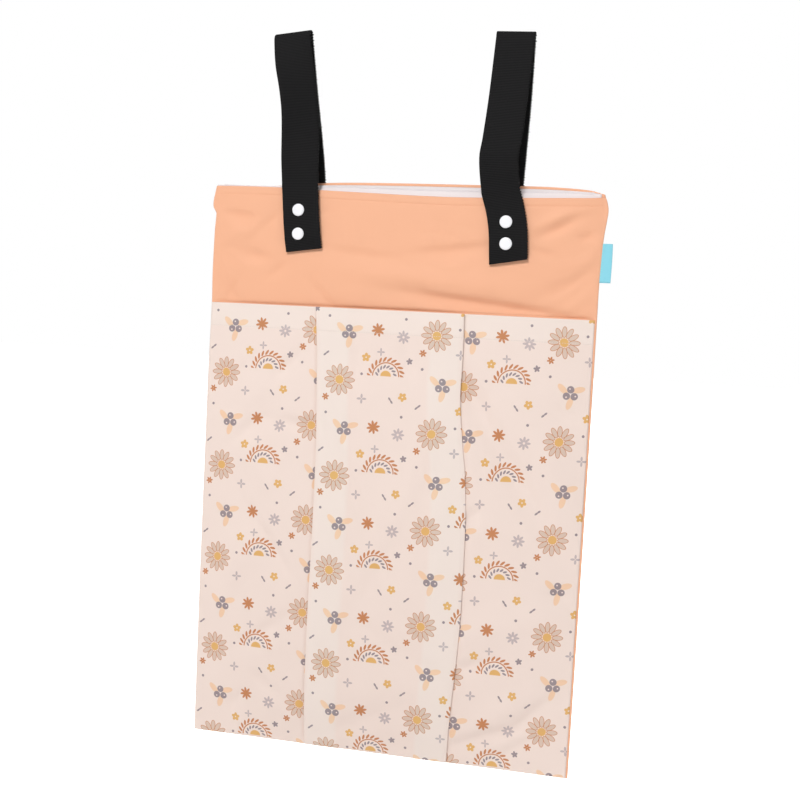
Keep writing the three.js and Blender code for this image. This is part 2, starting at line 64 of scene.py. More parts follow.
# %% Driving sizes
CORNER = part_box("front_panel")[1].z
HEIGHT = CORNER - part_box("front_panel")[0].z
POCKET_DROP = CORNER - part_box("pocket_panel")[1].z
HALF = 200 * MM
RAIL = -CORNER
BODY_CLOTH = 1.0 * MM
POCKET_CLOTH = 0.6 * MM
SEAM_WALL = 0.75 * MM
print("bag", round(2 * HALF, 3), "by", round(HEIGHT, 3), "pocket from", round(POCKET_DROP, 3))


def clamp(value, low=0.0, high=1.0):
    return max(low, min(high, value))


def mix(a, b, t):
    return a + (b - a) * t


def smooth(value, low, high):
    """0 below low, 1 above high and an even S between them."""
    t = clamp((value - low) / (high - low))
    return t * t * (3 - 2 * t)


def bump(distance, width):
    return math.exp(-((distance / width) ** 2))


def through(*places):
    """A smooth function of one number that passes through the (at, value) pairs."""

    def value(at):
        last = len(places) - 1
        i = 0
        while i < last - 1 and at > places[i + 1][0]:
            i += 1
        (a, value_a), (b, value_b) = places[i], places[i + 1]
        before, after = places[max(i - 1, 0)], places[min(i + 2, last)]
        t = clamp((at - a) / (b - a))
        slope_a = (value_b - before[1]) / (b - before[0]) * (b - a)
        slope_b = (after[1] - value_a) / (after[0] - a) * (b - a)
        near = value_a * (2 * t**3 - 3 * t**2 + 1) + slope_a * (t**3 - 2 * t**2 + t)
        return near + value_b * (3 * t**2 - 2 * t**3) + slope_b * (t**3 - t**2)

    return value


def through_mm(*places):
    """The same, with both numbers given in millimetres."""
    return through(*[(a * MM, b * MM) for a, b in places])


# %% [markdown]
# ## Laying out cloth
#
# A sheet of cloth could be sculpted, remeshed or simulated from a block, but sewn goods are cut flat and then
# folded, so each sheet here starts as a flat grid and every corner of the grid is moved to its place. The
# grid keeps a UV map in metres of uncut cloth, and prints and knits follow it round every fold. Rows and
# columns stand close together where the cloth turns sharply, at seams and hems.

# %% A woven grid
SEAM_STEPS = [0, 0.12, 0.35, 0.7, 1.15, 1.7, 2.6, 4.2]


def spaced(length, spacing, near=SEAM_STEPS, far=SEAM_STEPS):
    """Distances from 0 to length. near and far are the steps at the ends, in millimetres."""
    start = [s * MM for s in near] or [0]
    end = [length - s * MM for s in reversed(far)] or [length]
    count = max(1, round((end[0] - start[-1]) / spacing))
    middle = [mix(start[-1], end[0], k / count) for k in range(1, count)]
    return start + middle + end


def link(name, mesh):
    obj = bpy.data.objects.new(name, mesh)
    scene.collection.objects.link(obj)
    return obj


def mesh_of(bm, name):
    """A smooth mesh from bm, which is freed."""
    for face in bm.faces:
        face.smooth = True
    mesh = bpy.data.meshes.new(name)
    bm.to_mesh(mesh)
    bm.free()
    return mesh


def close_up(bm):
    """Merges the corners that meet and fills the holes that are left."""
    bmesh.ops.remove_doubles(bm, verts=bm.verts, dist=1e-6)
    bmesh.ops.holes_fill(bm, edges=[e for e in bm.edges if e.is_boundary], sides=0)
    bmesh.ops.recalc_face_normals(bm, faces=bm.faces)


def turn_to(x, y, z):
    """The turn that lays the three axes along these directions."""
    return Matrix((x, y, z)).transposed().to_4x4()


def add_bead(bm, place, turn, half_sizes, segments, rings):
    """Adds a small oval solid to bm."""
    bead = bmesh.ops.create_uvsphere(bm, u_segments=segments, v_segments=rings, radius=1)
    lie = Matrix.Translation(place) @ turn @ Matrix.Diagonal((*half_sizes, 1))
    bmesh.ops.transform(bm, matrix=lie, verts=bead["verts"])


def woven(name, columns, rows, point, flat, backed=None):
    """A sheet of columns by rows of quads. Corner (i, j) lies at point(i, j), and at flat(i, j) on the cloth.

    backed(i, j), from 0 to 1, says how much there is white cloth behind it.
    """
    bm = bmesh.new()
    bmesh.ops.create_grid(bm, x_segments=columns, y_segments=rows, size=0.5)
    uv = bm.loops.layers.uv.new("cloth")
    backing = bm.verts.layers.float.new("backed") if backed else None
    index = {v: (round((v.co.x + 0.5) * columns), round((v.co.y + 0.5) * rows)) for v in bm.verts}
    for face in bm.faces:
        for loop in face.loops:
            loop[uv].uv = flat(*index[loop.vert])
    for v, (i, j) in index.items():
        v.co = point(i, j)
        if backed:
            v[backing] = backed(i, j)
    return link(name, mesh_of(bm, name))


def thicken(obj, cloth, offset=0.0):
    wall = obj.modifiers.new("cloth", "SOLIDIFY")
    wall.thickness = cloth
    wall.offset = offset
    return obj


def settle(obj, held, reach, slack, frames=16):
    """Lets a sheet of cloth buckle and sag where held(corner) is below 1, and moves it by the result.

    slack is how much larger the cloth is than the room it has. A corner moves less than reach(corner).
    """
    trial = link("settling", obj.data.copy())
    pins = trial.vertex_groups.new(name="held")
    for v in trial.data.vertices:
        pins.add([v.index], clamp(held(v.co)), "REPLACE")
    cloth = trial.modifiers.new("cloth", "CLOTH")
    cloth.settings.quality = 6
    cloth.settings.mass = 0.25
    cloth.settings.tension_stiffness = 12
    cloth.settings.compression_stiffness = 12
    cloth.settings.shear_stiffness = 8
    cloth.settings.bending_stiffness = 4
    cloth.settings.shrink_min = -slack
    cloth.settings.vertex_group_mass = "held"
    cloth.collision_settings.use_collision = False
    for frame_number in range(1, frames + 1):
        scene.frame_set(frame_number)
    shaped = trial.evaluated_get(bpy.context.evaluated_depsgraph_get()).data
    furthest = 0.0
    for v, moved in zip(obj.data.vertices, shaped.vertices):
        step = moved.co - v.co
        limit = reach(v.co)
        if limit > 0 and step.length > 0:
            step *= limit / (limit + step.length)
            v.co += step
            furthest = max(furthest, step.length)
    scene.frame_set(1)
    bpy.data.objects.remove(trial)
    print(obj.name, "settled by up to", round(furthest / MM, 2), "mm")
    return obj


def finish_piece(obj, material, slot, *nodes):
    """Gives a piece its material, hides the solids that it stands for and hangs it on the body. slot is not
    used.
    """
    obj.data.materials.clear()
    obj.data.materials.append(material)
    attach(obj, "root")
    if nodes:
        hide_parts(*nodes)
    return obj


# %% [markdown]
# ## Drape folds
#
# Folds in hanging cloth are long, soft at one flank and sharper at the other, and they fade out at both ends.
# A short table holds one row for each fold that can be seen, and a little smooth noise fills the calm cloth
# between them, so that no stretch is dead flat.

# %% Folds


def fold_height(folds, x, drop):
    """Sum of the folds at one place, each given in millimetres and degrees. lean sharpens one flank."""
    total = 0.0
    for at_x, at_drop, turn, length, width, high, lean in folds:
        dx = x / MM - at_x
        dz = at_drop - drop / MM
        angle = math.radians(turn)
        along = dx * math.cos(angle) + dz * math.sin(angle)
        beside = dz * math.cos(angle) - dx * math.sin(angle)
        flank = width * (1 + lean * math.tanh(beside / width))
        total += high * bump(along, length) * bump(beside, flank)
    return total * MM


def ripple(x, drop, seed, scale, high):
    """Low smooth noise: scale is the size of a swelling and high its height, both in metres."""
    return high * noise.noise(Vector((x / scale, drop / scale, seed)))


# %% [markdown]
# ## The body
#
# The front and the back of the sack are two panels, sewn together down the sides and along the bottom and
# turned right side out. They could be one mesh, but two panels leave the fine line of the seam between them.
# Each panel swells a few millimetres away from the seam's plane, and curls into the seam over its last 1.7
# mm. At the mouth the cloth turns over into a hem.

# %% Outline and fullness of the body
LEFT_EDGE = through_mm(
    (0, 197.8), (6, 199), (14, 200.6), (22, 200.6), (26.5, 197.4), (34, 197.4), (46, 198.2), (90, 198.9),
    (121, 198.4), (200, 199.4), (400, 200), (582, 199.6),
)
RIGHT_EDGE = through_mm(
    (0, 200), (6, 202.4), (14, 204), (24, 203.2), (40, 201.3), (64, 200.2), (90, 199.6), (121, 199.8),
    (300, 200.3), (582, 200),
)
FRONT_EDGE = through_mm(
    (-200, 0.4), (-129, 1), (-89, 2.6), (-24, 4.6), (17, 5.8), (60, 6.3), (121, 5.2), (160, 4.2), (190, 3),
    (200, 1.6),
)
BACK_EDGE = through_mm(
    (-200, 0), (-165, -1), (-129, -2.6), (-89, -6), (-37, -7.6), (110, -8), (150, -7.6), (185, -5), (200, -1)
)
FULLNESS = through((0, 0.84), (0.12, 0.85), (0.3, 0.93), (0.55, 1), (0.8, 0.94), (0.94, 0.62), (1, 0))
FRONT_BELLY = 7.5 * MM
BACK_BELLY = 8 * MM
SEAM_CURL = 1.7 * MM


def outline_x(share, drop):
    """x of a place whose share runs from -1 at the left seam to 1 at the right one."""
    edge = LEFT_EDGE(drop) if share < 0 else RIGHT_EDGE(drop)
    return share * edge


def swell(x, drop, belly):
    """How far a panel stands from the seam's plane, without its curl at the seams."""
    share = min(abs(x) / HALF, 1)
    square = mix(10, 2.6, smooth(drop / HEIGHT, 0, 0.2))
    return SEAM_WALL + belly * (1 - share**square) * FULLNESS(clamp(drop / HEIGHT))


def curl(distance, over=SEAM_CURL):
    """A quarter round: 0 at a seam, 1 from over onwards."""
    return math.sqrt(1 - (1 - clamp(distance / over)) ** 2)


def body_depth(x, drop, belly, folds):
    """Depth of a panel's middle, with its folds, away from the seam's plane."""
    edge = LEFT_EDGE(drop) if x < 0 else RIGHT_EDGE(drop)
    at_seam = curl(edge - abs(x)) * curl(HEIGHT - drop)
    calm = smooth(edge - abs(x), 0, 14 * MM) * smooth(HEIGHT - drop, 0, 12 * MM)
    return (swell(x, drop, belly) - 0.1 * MM) * at_seam + 0.1 * MM + folds(x, drop) * calm


# %% The two panels
BAND_FOLDS = [
    # left of the left strap
    (-168, 30, -6, 20, 6, -1.7, -0.5),
    (-140, 38, 40, 17, 5, -1.2, -0.4),
    (-150, 70, -10, 20, 7, -1.8, -0.5),
    (-127, 85, 40, 16, 5, -1.1, -0.3),
    (-177, 106, 66, 15, 3.6, -1.3, -0.4),
    (-172, 50, 20, 24, 8, 1, 0.2),
    (-81, 104, -45, 20, 5, -1.1, -0.3),
    # between the straps
    (-76, 25, 0, 18, 3, -0.5, 0),
    (-38, 66, -7, 42, 8, -1.5, -0.45),
    (56, 58, 7, 45, 8, -2.1, -0.5),
    (60, 34, -8, 30, 3, -0.4, 0),
    (38, 42, -6, 36, 3.4, -0.4, 0),
    (40, 88, -5, 84, 11, 1.7, 0.3),
    (62, 106.5, -6, 62, 6.5, -2.8, -0.5),
    (132, 113, -7, 44, 6, -2, -0.4),
    # right of the right strap
    (154, 24.5, 25, 26, 4.6, 1.7, 0.4),
    (160, 32, 25, 26, 5, -1.5, -0.3),
    (186, 40, -4, 14, 5.5, -1.6, -0.3),
    (142, 57, -15, 15, 5, -1.2, -0.3),
    (164, 89, 24, 27, 8, -1.6, -0.2),
    (180, 66, 18, 24, 8, 1.1, 0.2),
]
BACK_FOLDS = [
    # below the straps' tails
    (-116, 96, 66, 34, 5.5, -1.9, -0.3),
    (-84, 98, -58, 36, 5.5, -1.9, -0.3),
    (88, 96, 60, 34, 5.5, -1.8, -0.3),
    (118, 98, -62, 34, 5.5, -1.8, -0.3),
    # across the middle
    (0, 56, 4, 60, 8, -2, -0.4),
    (0, 84, -3, 70, 11, 1.5, 0.3),
    (-40, 130, 8, 70, 8, -2.2, -0.4),
    (62, 150, -12, 64, 8, -2.1, -0.4),
    (-142, 172, -48, 50, 7, -2.4, -0.4),
    (150, 192, 44, 50, 7, -2.4, -0.4),
    (-88, 232, 30, 70, 9, -2.1, -0.35),
    (80, 262, -26, 76, 9, -2.3, -0.35),
    (-150, 300, 50, 54, 9, -2, -0.3),
    (142, 330, -50, 60, 8, -2.3, -0.4),
    (-24, 338, 14, 80, 12, 1.5, 0.3),
    (-70, 390, -40, 60, 8, -2.1, -0.4),
    (42, 420, 34, 70, 9, -1.9, -0.35),
    # above the bottom seam
    (-152, 462, -44, 50, 8, -2.3, -0.4),
    (150, 482, 48, 52, 8, -2.3, -0.4),
    (-42, 500, -16, 70, 9, -2.1, -0.4),
    (70, 522, 22, 66, 9, -2.1, -0.4),
    (-132, 548, -30, 50, 7, -2.2, -0.4),
    (132, 552, 32, 46, 7, -2, -0.4),
]
BAND_DEEPER = 2
BACK_DEEPER = 1.35
HEM = 9 * MM
HEM_STITCH = 7.5 * MM
BODY_TURN = 0.62 * MM
MOUTH_TUCK = 1.5 * MM
MOUTH_STEPS = [0, 0.3, 0.8, 1.6, 2.6, 3.8, 5, 5.9, 6.7, 7.3, 7.9, 8.7, 9.8, 11.4, 13.6]


def stitch_dent(below_edge, at, deep=0.35 * MM, wide=0.8 * MM):
    return -deep * bump(below_edge - at, wide)


def front_folds(x, drop):
    below_edge = drop - FRONT_EDGE(x)
    under_hem = smooth(below_edge, 6 * MM, 18 * MM)
    over_pocket = 1 - smooth(drop, 0.95 * POCKET_DROP, 1.04 * POCKET_DROP)
    soft = ripple(x, drop, 3, 46 * MM, 0.7 * MM) + ripple(x, drop, 8, 19 * MM, 0.3 * MM)
    folds = BAND_DEEPER * fold_height(BAND_FOLDS, x, drop) + soft
    tuck = mix(0.5, 1, smooth(x, -120 * MM, 60 * MM)) * MOUTH_TUCK
    tucked = -tuck * bump(drop - POCKET_DROP + 1.2 * MM, 1.9 * MM)
    return folds * under_hem * over_pocket + tucked + stitch_dent(below_edge, HEM_STITCH)


def back_folds(x, drop):
    below_edge = drop - BACK_EDGE(x)
    soft = ripple(x, drop, 21, 60 * MM, 1.4 * MM) + ripple(x, drop, 25, 24 * MM, 0.4 * MM)
    under_hem = smooth(below_edge, 5 * MM, 24 * MM)
    folds = BACK_DEEPER * fold_height(BACK_FOLDS, x, drop) + soft
    return folds * under_hem + stitch_dent(below_edge, HEM_STITCH)


def hemmed_rows(drops, hem, turn):
    """(drop, inset) of each row: up the outside from the seam, over the fold and down inside the hem."""
    rows = [(turn + d, 0.0) for d in reversed(drops)]
    for k in range(1, 6):
        angle = math.pi * k / 6
        rows.append((turn - turn * math.sin(angle), turn - turn * math.cos(angle)))
    return rows + [(turn + hem * k / 4, 2 * turn) for k in range(5)]


def front_drops():
    """Rows of the front panel: close together in the bare band, closest at the pocket's mouth."""
    band = spaced(POCKET_DROP - 7 * MM, 2.7 * MM, MOUTH_STEPS, [0])
    mouth = [POCKET_DROP + d * MM for d in (-5.4, -4.2, -3.2, -2.4, -1.7, -1, -0.3, 0.6, 2, 4)]
    covered = POCKET_DROP + 7 * MM
    return band + mouth + [covered + d for d in spaced(HEIGHT - BODY_TURN - covered, 7 * MM, [0])]


def body_panel(name, facing, spacing, drops, edge, belly, folds):
    """One panel. facing is -1 for the front and 1 for the back."""
    across = spaced(2 * HALF, spacing)
    rows = hemmed_rows(drops, HEM, BODY_TURN)

    def point(i, j):
        share = (across[i] / HALF - 1) * -facing
        drop, inset = rows[j]
        near_mouth = 1 - smooth(drop, 0, 110 * MM)
        x = outline_x(share, max(drop, 0))
        drop = drop + edge(x) * near_mouth
        x = outline_x(share, max(drop, 0))
        depth = body_depth(x, drop, belly, folds)
        pressed = clamp((depth - 0.5 * MM) / (2.4 * MM))
        return Vector((x, facing * (depth - inset * pressed), CORNER - drop))

    def flat(i, j):
        drop, inset = rows[j]
        return across[i], -drop if inset < BODY_TURN else drop

    return woven(name, len(across) - 1, len(rows) - 1, point, flat)


def free_of_seams(co, border):
    """0 at the side seams, the bottom and the hem, and 1 further than border from all of them."""
    drop = CORNER - co.z
    edge = LEFT_EDGE(drop) if co.x < 0 else RIGHT_EDGE(drop)
    sides = smooth(edge - abs(co.x), 3 * MM, border)
    return sides * smooth(drop, 14 * MM, 14 * MM + border) * smooth(HEIGHT - drop, 3 * MM, border)


def above_pocket(co):
    return 1 - smooth(CORNER - co.z, POCKET_DROP - 14 * MM, POCKET_DROP + 2 * MM)


FRONT_SPACING = 3.4 * MM
BACK_SPACING = 4.6 * MM
HELD_BORDER = 12 * MM
SETTLE_REACH = 1.5 * MM
SLACK = 0.004
rows = front_drops()
front_cloth = body_panel("front_cloth", -1, FRONT_SPACING, rows, FRONT_EDGE, FRONT_BELLY, front_folds)
settle(
    front_cloth,
    lambda co: 1 - smooth(free_of_seams(co, HELD_BORDER) * above_pocket(co), 0, 0.3),
    lambda co: SETTLE_REACH * free_of_seams(co, 22 * MM) * above_pocket(co),
    SLACK,
)
thicken(front_cloth, BODY_CLOTH)
rows = spaced(HEIGHT - BODY_TURN, BACK_SPACING, MOUTH_STEPS)
back_cloth = body_panel("back_cloth", 1, BACK_SPACING, rows, BACK_EDGE, BACK_BELLY, back_folds)
settle(
    back_cloth,
    lambda co: 1 - smooth(free_of_seams(co, HELD_BORDER), 0, 0.3),
    lambda co: SETTLE_REACH * free_of_seams(co, 30 * MM),
    SLACK,
)
thicken(back_cloth, BODY_CLOTH)
print("body panels:", len(front_cloth.data.vertices), "and", len(back_cloth.data.vertices), "corners")

# %% [markdown]
# ## The pocket
#
# The pocket is one wide cloth. From the left seam it runs under the pleat, back out to the pleat's left fold,
# across the face, and the same way back on the right. Each grid row is that section at one height, worked out
# as a line in plan, and the pleat's four folds wander a little from row to row as they hang. The mouth has a
# 24 mm hem, so there the layers are twice as thick and the pleat stands further out.

# %% Section of the pocket
PLEAT_LEFT = through_mm((121, -80), (145, -78), (200, -75.5), (265, -73), (370, -73), (440, -74), (582, -74))
PLEAT_RIGHT = through_mm(
    (121, 70), (170, 71.5), (200, 71.2), (223, 73), (255, 77), (276, 80), (328, 83.6), (424, 84), (474, 82),
    (519, 79), (582, 76),
)
PLEAT_RETURN = 33 * MM
POCKET_ROOM = through((0, 0.5), (0.12, 0.8), (0.3, 1), (0.7, 0.97), (0.9, 0.72), (1, 0))
POCKET_HEIGHT = HEIGHT - POCKET_DROP
POCKET_HEM = 24 * MM
POCKET_TURN = 0.36 * MM
INSET_RIGHT = 1.8 * MM
LAYER = 1 * MM
LAYER_IN_HEM = 2.4 * MM
POCKET_STAND_OFF = 1.5 * MM
POCKET_BELLY = 6.2 * MM
FACE_LIFT = 2.4 * MM
FACE_SAG = 0.8 * MM
SIDES_DEEPER = 1.6
FACE_DEEPER = 1.5
SIDE_FOLDS = [
    # left panel
    (-108, 181, 47, 22, 6, -1.6, -0.3),
    (-182, 192, -50, 13, 6, -1.2, -0.3),
    (-164, 190, 42, 18, 6, -1.3, -0.3),
    (-140, 212, 35, 30, 12, 1.2, 0.2),
    (-98, 241, -5, 28, 6, -1.9, -0.3),
    (-150, 250, 38, 26, 7, -1.7, -0.3),
    (-130, 300, -50, 44, 12, 1.3, 0.2),
    (-119, 368, -54, 52, 6, -2, -0.4),
    (-160, 400, 60, 50, 14, 1.2, 0.2),
    (-120, 460, 36, 36, 8, -1.4, -0.3),
    (-121, 519, -32, 22, 6, -1.5, -0.3),
    (-165, 552, 44, 30, 7, -2, -0.3),
    # right panel
    (88, 206, -60, 30, 11, -2.2, -0.3),
    (130, 278, -57, 78, 11, -3.1, -0.1),
    (160, 262, -58, 60, 13, 1.5, 0.2),
    (177, 214, -25, 19, 6, -1.5, -0.3),
    (88, 321, 40, 13, 5, -1.6, -0.3),
    (120, 350, -50, 50, 14, 1.3, 0.2),
    (183, 397, -20, 17, 6, -2, -0.3),
    (130, 430, 20, 50, 12, 1.2, 0.2),
    (96, 475, 20, 16, 5, -1.8, -0.3),
    (116, 547, 22, 36, 7, -2.7, -0.4),
    (165, 516, 42, 32, 7, -2.6, -0.4),
    (150, 553, 33, 40, 6, -2, -0.4),
    (130, 520, 35, 40, 10, 1.4, 0.2),
]
FACE_FOLDS = [
    (-41, 283, -66, 76, 6, -1.8, -0.35),
    (-35, 178, -80, 24, 5, -1, 0),
    (-12, 176, -83, 24, 5, -1, 0),
    (17, 174, -78, 26, 6, -1.1, 0),
    (45, 179, -73, 24, 6, -1.1, 0),
    (24, 300, 70, 80, 13, 0.9, 0.3),
    (-10, 400, 62, 60, 10, -1.1, -0.3),
    (30, 470, -30, 50, 10, -1.2, -0.3),
    (-20, 548, 24, 44, 9, -1.4, -0.3),
    (10, 510, 10, 70, 14, 1, 0.3),
]
BEND_POINTS = 5


def pocket_side_folds(x, drop, fold_x):
    away = smooth(abs(x) - abs(fold_x), -8 * MM, 8 * MM)
    soft = ripple(x, drop, 40, 52 * MM, 1 * MM) + ripple(x, drop, 44, 22 * MM, 0.35 * MM)
    return (SIDES_DEEPER * fold_height(SIDE_FOLDS, x, drop) + soft) * away


def pocket_face_folds(x, drop):
    soft = ripple(x, drop, 50, 60 * MM, 1 * MM) + ripple(x, drop, 53, 24 * MM, 0.3 * MM)
    return FACE_DEEPER * fold_height(FACE_FOLDS, x, drop) + soft


def pocket_depth(x, drop):
    """Depth of the pocket's first layer in front of the body, towards the viewer."""
    share = min(abs(x) / HALF, 1)
    down = clamp((drop - POCKET_DROP) / POCKET_HEIGHT)
    room = POCKET_BELLY * (1 - share**4) * POCKET_ROOM(down)
    return swell(x, drop, FRONT_BELLY) + POCKET_STAND_OFF + room


def layer_depths(drop):
    """Depths of the pleat's middle and face layers in front of the first. The hem pushes the face out."""
    in_hem = 1 - smooth(drop - POCKET_DROP, 0.6 * POCKET_HEM, 2.2 * POCKET_HEM)
    return LAYER, LAYER + mix(LAYER, LAYER_IN_HEM, in_hem)


def pocket_section(drop):
    """The pocket's line in plan at one height: a list of (x, depth) from the left seam to the right edge."""
    left, right = PLEAT_LEFT(drop), PLEAT_RIGHT(drop)
    start, end = -LEFT_EDGE(drop) - 0.2 * MM, RIGHT_EDGE(drop) - INSET_RIGHT
    middle, face = layer_depths(drop)
    down = clamp((drop - POCKET_DROP) / POCKET_HEIGHT)
    calm = smooth(drop - POCKET_DROP, 0.4 * POCKET_HEM, 2 * POCKET_HEM) * smooth(HEIGHT - drop, 0, 14 * MM)
    inner_left, inner_right = left + PLEAT_RETURN, right - PLEAT_RETURN

    def first(x, fold_x):
        free = pocket_depth(x, drop) + pocket_side_folds(x, drop, fold_x) * calm
        free -= (0.9 if fold_x < 0 else 0.3) * MM * bump(abs(x) - abs(fold_x) - MM, 2 * MM)
        body = swell(x, drop, FRONT_BELLY) + 1.4 * MM
        return max(free, body) + 0.3 * MM * math.exp(-abs(free - body) / (0.6 * MM))

    def face_at(x):
        share = (2 * x - left - right) / (right - left)
        bare = smooth(x - inner_left, -2 * MM, 4 * MM) * smooth(inner_right - x, -2 * MM, 4 * MM)
        lift = FACE_LIFT * (1 - share**4) * math.sin(math.pi * down) ** 0.6
        folds = pocket_face_folds(x, drop) * calm * (1 - share**6)
        return pocket_depth(x, drop) + face - FACE_SAG * bare + lift + folds

    line = []

    def run(steps, depth):
        line.extend((x, depth(x)) for x in steps)

    def bend(x, near, far, outward):
        """A half turn between two layers at x, bulging to the right (1) or the left (-1)."""
        radius = abs(far - near) / 2
        centre = (near + far) / 2
        for k in range(1, BEND_POINTS):
            angle = math.pi * k / BEND_POINTS
            line.append((x + outward * radius * math.sin(angle), centre - (far - near) / 2 * math.cos(angle)))

    def even(a, b, count):
        return [mix(a, b, k / count) for k in range(count + 1)]

    seam_side = [s * MM for s in SEAM_STEPS]
    at_fold = [d * MM for d in (5.5, 4, 2.8, 1.8, 1, 0.3, -0.6, -2)]
    left_side = [start + s for s in seam_side] + even(start + seam_side[-1], left - at_fold[0], 32)[1:-1]
    left_side += [left - d for d in at_fold] + even(left + 4 * MM, inner_left, 5)
    run(left_side, lambda x: first(x, left))
    base = pocket_depth(inner_left, drop)
    bend(inner_left, base, base + middle, 1)
    run(even(inner_left, left, 6), lambda x: pocket_depth(x, drop) + middle)
    base = pocket_depth(left, drop)
    bend(left, base + middle, base + face, -1)
    run(even(left, right, 34), face_at)
    base = pocket_depth(right, drop)
    bend(right, base + face, base + middle, 1)
    run(even(right, inner_right, 6), lambda x: pocket_depth(x, drop) + middle)
    base = pocket_depth(inner_right, drop)
    bend(inner_right, base + middle, base, -1)
    right_side = even(inner_right, right - 4 * MM, 5) + [right + d for d in reversed(at_fold)]
    right_side += even(right + at_fold[0], end - seam_side[-1], 32)[1:-1]
    right_side += [end - s for s in reversed(seam_side)]
    run(right_side, lambda x: first(x, right))
    return line


# %% The pocket's cloth
POCKET_STITCH = POCKET_HEM - 0.6 * MM
POCKET_STEPS = [0, 0.3, 0.8, 1.6, 3, 5.5, 9, 13, 17, 20, 22, 23.2, 24, 24.8, 26, 28, 31]


def make_pocket():
    rows = hemmed_rows(spaced(POCKET_HEIGHT - POCKET_TURN, 4.4 * MM, POCKET_STEPS), POCKET_HEM, POCKET_TURN)
    sections = []
    lengths = []
    for drop, inset in rows:
        line = pocket_section(POCKET_DROP + max(drop, 0))
        last = len(line) - 1
        placed = []
        length = [0.0]
        for i, (x, depth) in enumerate(line):
            (ax, ad), (bx, bd) = line[max(i - 1, 0)], line[min(i + 1, last)]
            run = Vector((bx - ax, bd - ad)).normalized()
            wrong_side = Vector((run.y, -run.x))
            bottom = curl(HEIGHT - POCKET_DROP - drop, 2.2 * MM)
            left = curl(x - line[0][0], 2.4 * MM)
            right = curl(line[-1][0] - x, 1.2 * MM)
            floor = (0.1 if x < 0 else 0.9) * MM
            seated = mix(floor, depth, left * right)
            seated = mix(0.1 * MM, seated, bottom)
            if inset == 0:
                seated += stitch_dent(drop, POCKET_STITCH, 0.22 * MM)
            aside, behind = wrong_side.x * inset, wrong_side.y * inset
            placed.append(Vector((x + aside, -seated - behind, CORNER - POCKET_DROP - drop)))
            if i:
                length.append(length[-1] + math.hypot(x - line[i - 1][0], depth - line[i - 1][1]))
        sections.append(placed)
        lengths.append(length)

    def flat(i, j):
        drop, inset = rows[j]
        return lengths[j][i], -drop if inset <= POCKET_TURN else drop

    def backed(i, j):
        """The hem and the pleat's returns lie on more of the same white cloth, and the rest on peach."""
        x, drop = sections[j][i].x, rows[j][0]
        left, right = PLEAT_LEFT(POCKET_DROP + drop), PLEAT_RIGHT(POCKET_DROP + drop)
        from_fold = min(x - left, right - x)
        returned = 1 - smooth(from_fold, PLEAT_RETURN - MM, PLEAT_RETURN + MM)
        returned *= smooth(from_fold, -0.5 * MM, 0.5 * MM)
        hem = 0.7 * (1 - smooth(drop, POCKET_HEM - MM, POCKET_HEM + MM))
        return max(hem, returned)

    columns, width = len(sections[0]) - 1, lengths[0][-1]
    sheet = woven("pocket_cloth", columns, len(rows) - 1, lambda i, j: sections[j][i], flat, backed)
    print("pocket cloth:", len(sheet.data.vertices), "corners,", round(width, 3), "m wide before pleating")
    return thicken(sheet, POCKET_CLOTH), width


pocket_cloth, pocket_width = make_pocket()

# %% [markdown]
# ## The straps
#
# Each strap is one length of ribbed webbing: up from a tail that is sewn on the back, over the rail, and down
# to a tail that is snapped on the front. A flat curve with a bevel would do for a smooth ribbon, but webbing
# shows its ribs along both edges, so the band is a closed section swept along the strap's line, with four
# rows to each rib.

# %% Lines of the straps
STRAP_WIDTH = 38 * MM
STRAP_CLOTH = 1.6 * MM
STRAP_TAIL = 62 * MM
SNAP_ROOM = 3.4 * MM
CROWN = 5 * MM + STRAP_CLOTH / 2
BOW = 9 * MM
LEG_PLACES = 120
CROWN_PLACES = 24
STRAPS = {
    "left": {
        "back": {
            "x": through((0, -121.6), (0.35, -115), (0.7, -107.4), (1, -102.4), (2, -101)),
            "bow": through((0, 0), (0.35, 0.3), (0.7, 0.25), (1, 0), (2, 0)),
            "turn": through((0, 7), (0.35, 7), (0.7, 5), (1, 3), (2, 0)),
            "twist": through((0, 0), (2, 0)),
        },
        "front": {
            "x": through(
                (0, -121.6), (0.18, -117), (0.34, -111.6), (0.5, -107.6), (0.65, -106), (0.82, -105.4),
                (1, -104.4), (1.5, -101.8), (2, -98),
            ),
            "bow": through(
                (0, 0), (0.18, 0.4), (0.34, 0.65), (0.5, 0.65), (0.65, 0.5), (0.82, 0.3), (1, 0), (2, 0)
            ),
            "turn": through(
                (0, 7), (0.18, 9), (0.34, 6), (0.5, 2), (0.65, 0), (0.82, 0), (1, 2), (1.5, 5), (2, 8)
            ),
            "twist": through(
                (0, 0), (0.18, 16), (0.34, 25), (0.5, 25), (0.65, 18), (0.82, 8), (1, 2), (1.5, 0), (2, 0)
            ),
            "tail": 64 * MM,
        },
    },
    "right": {
        "back": {
            "x": through((0, 105), (0.4, 104), (0.75, 102), (1, 101), (2, 101)),
            "bow": through((0, 0), (0.4, 0.3), (0.75, 0.25), (1, 0), (2, 0)),
            "turn": through((0, -1), (0.4, -2), (0.75, -2), (1, 0), (2, 0)),
            "twist": through((0, 0), (2, 0)),
        },
        "front": {
            "x": through(
                (0, 105), (0.4, 101.6), (0.68, 98.4), (0.77, 96.8), (0.86, 97.4), (1, 100), (1.3, 106),
                (1.6, 109.4), (2, 111),
            ),
            "bow": through(
                (0, 0), (0.4, 0.5), (0.66, 0.85), (0.77, 1), (0.86, 0.75), (1, 0.2), (1.3, 0), (2, 0)
            ),
            "turn": through(
                (0, -1), (0.4, -3), (0.7, -2), (0.78, 1), (0.9, 5), (1.1, 9), (1.4, 5), (1.7, 4), (2, 10)
            ),
            "twist": through((0, 0), (2, 0)),
            "tail": 68 * MM,
        },
    },
}


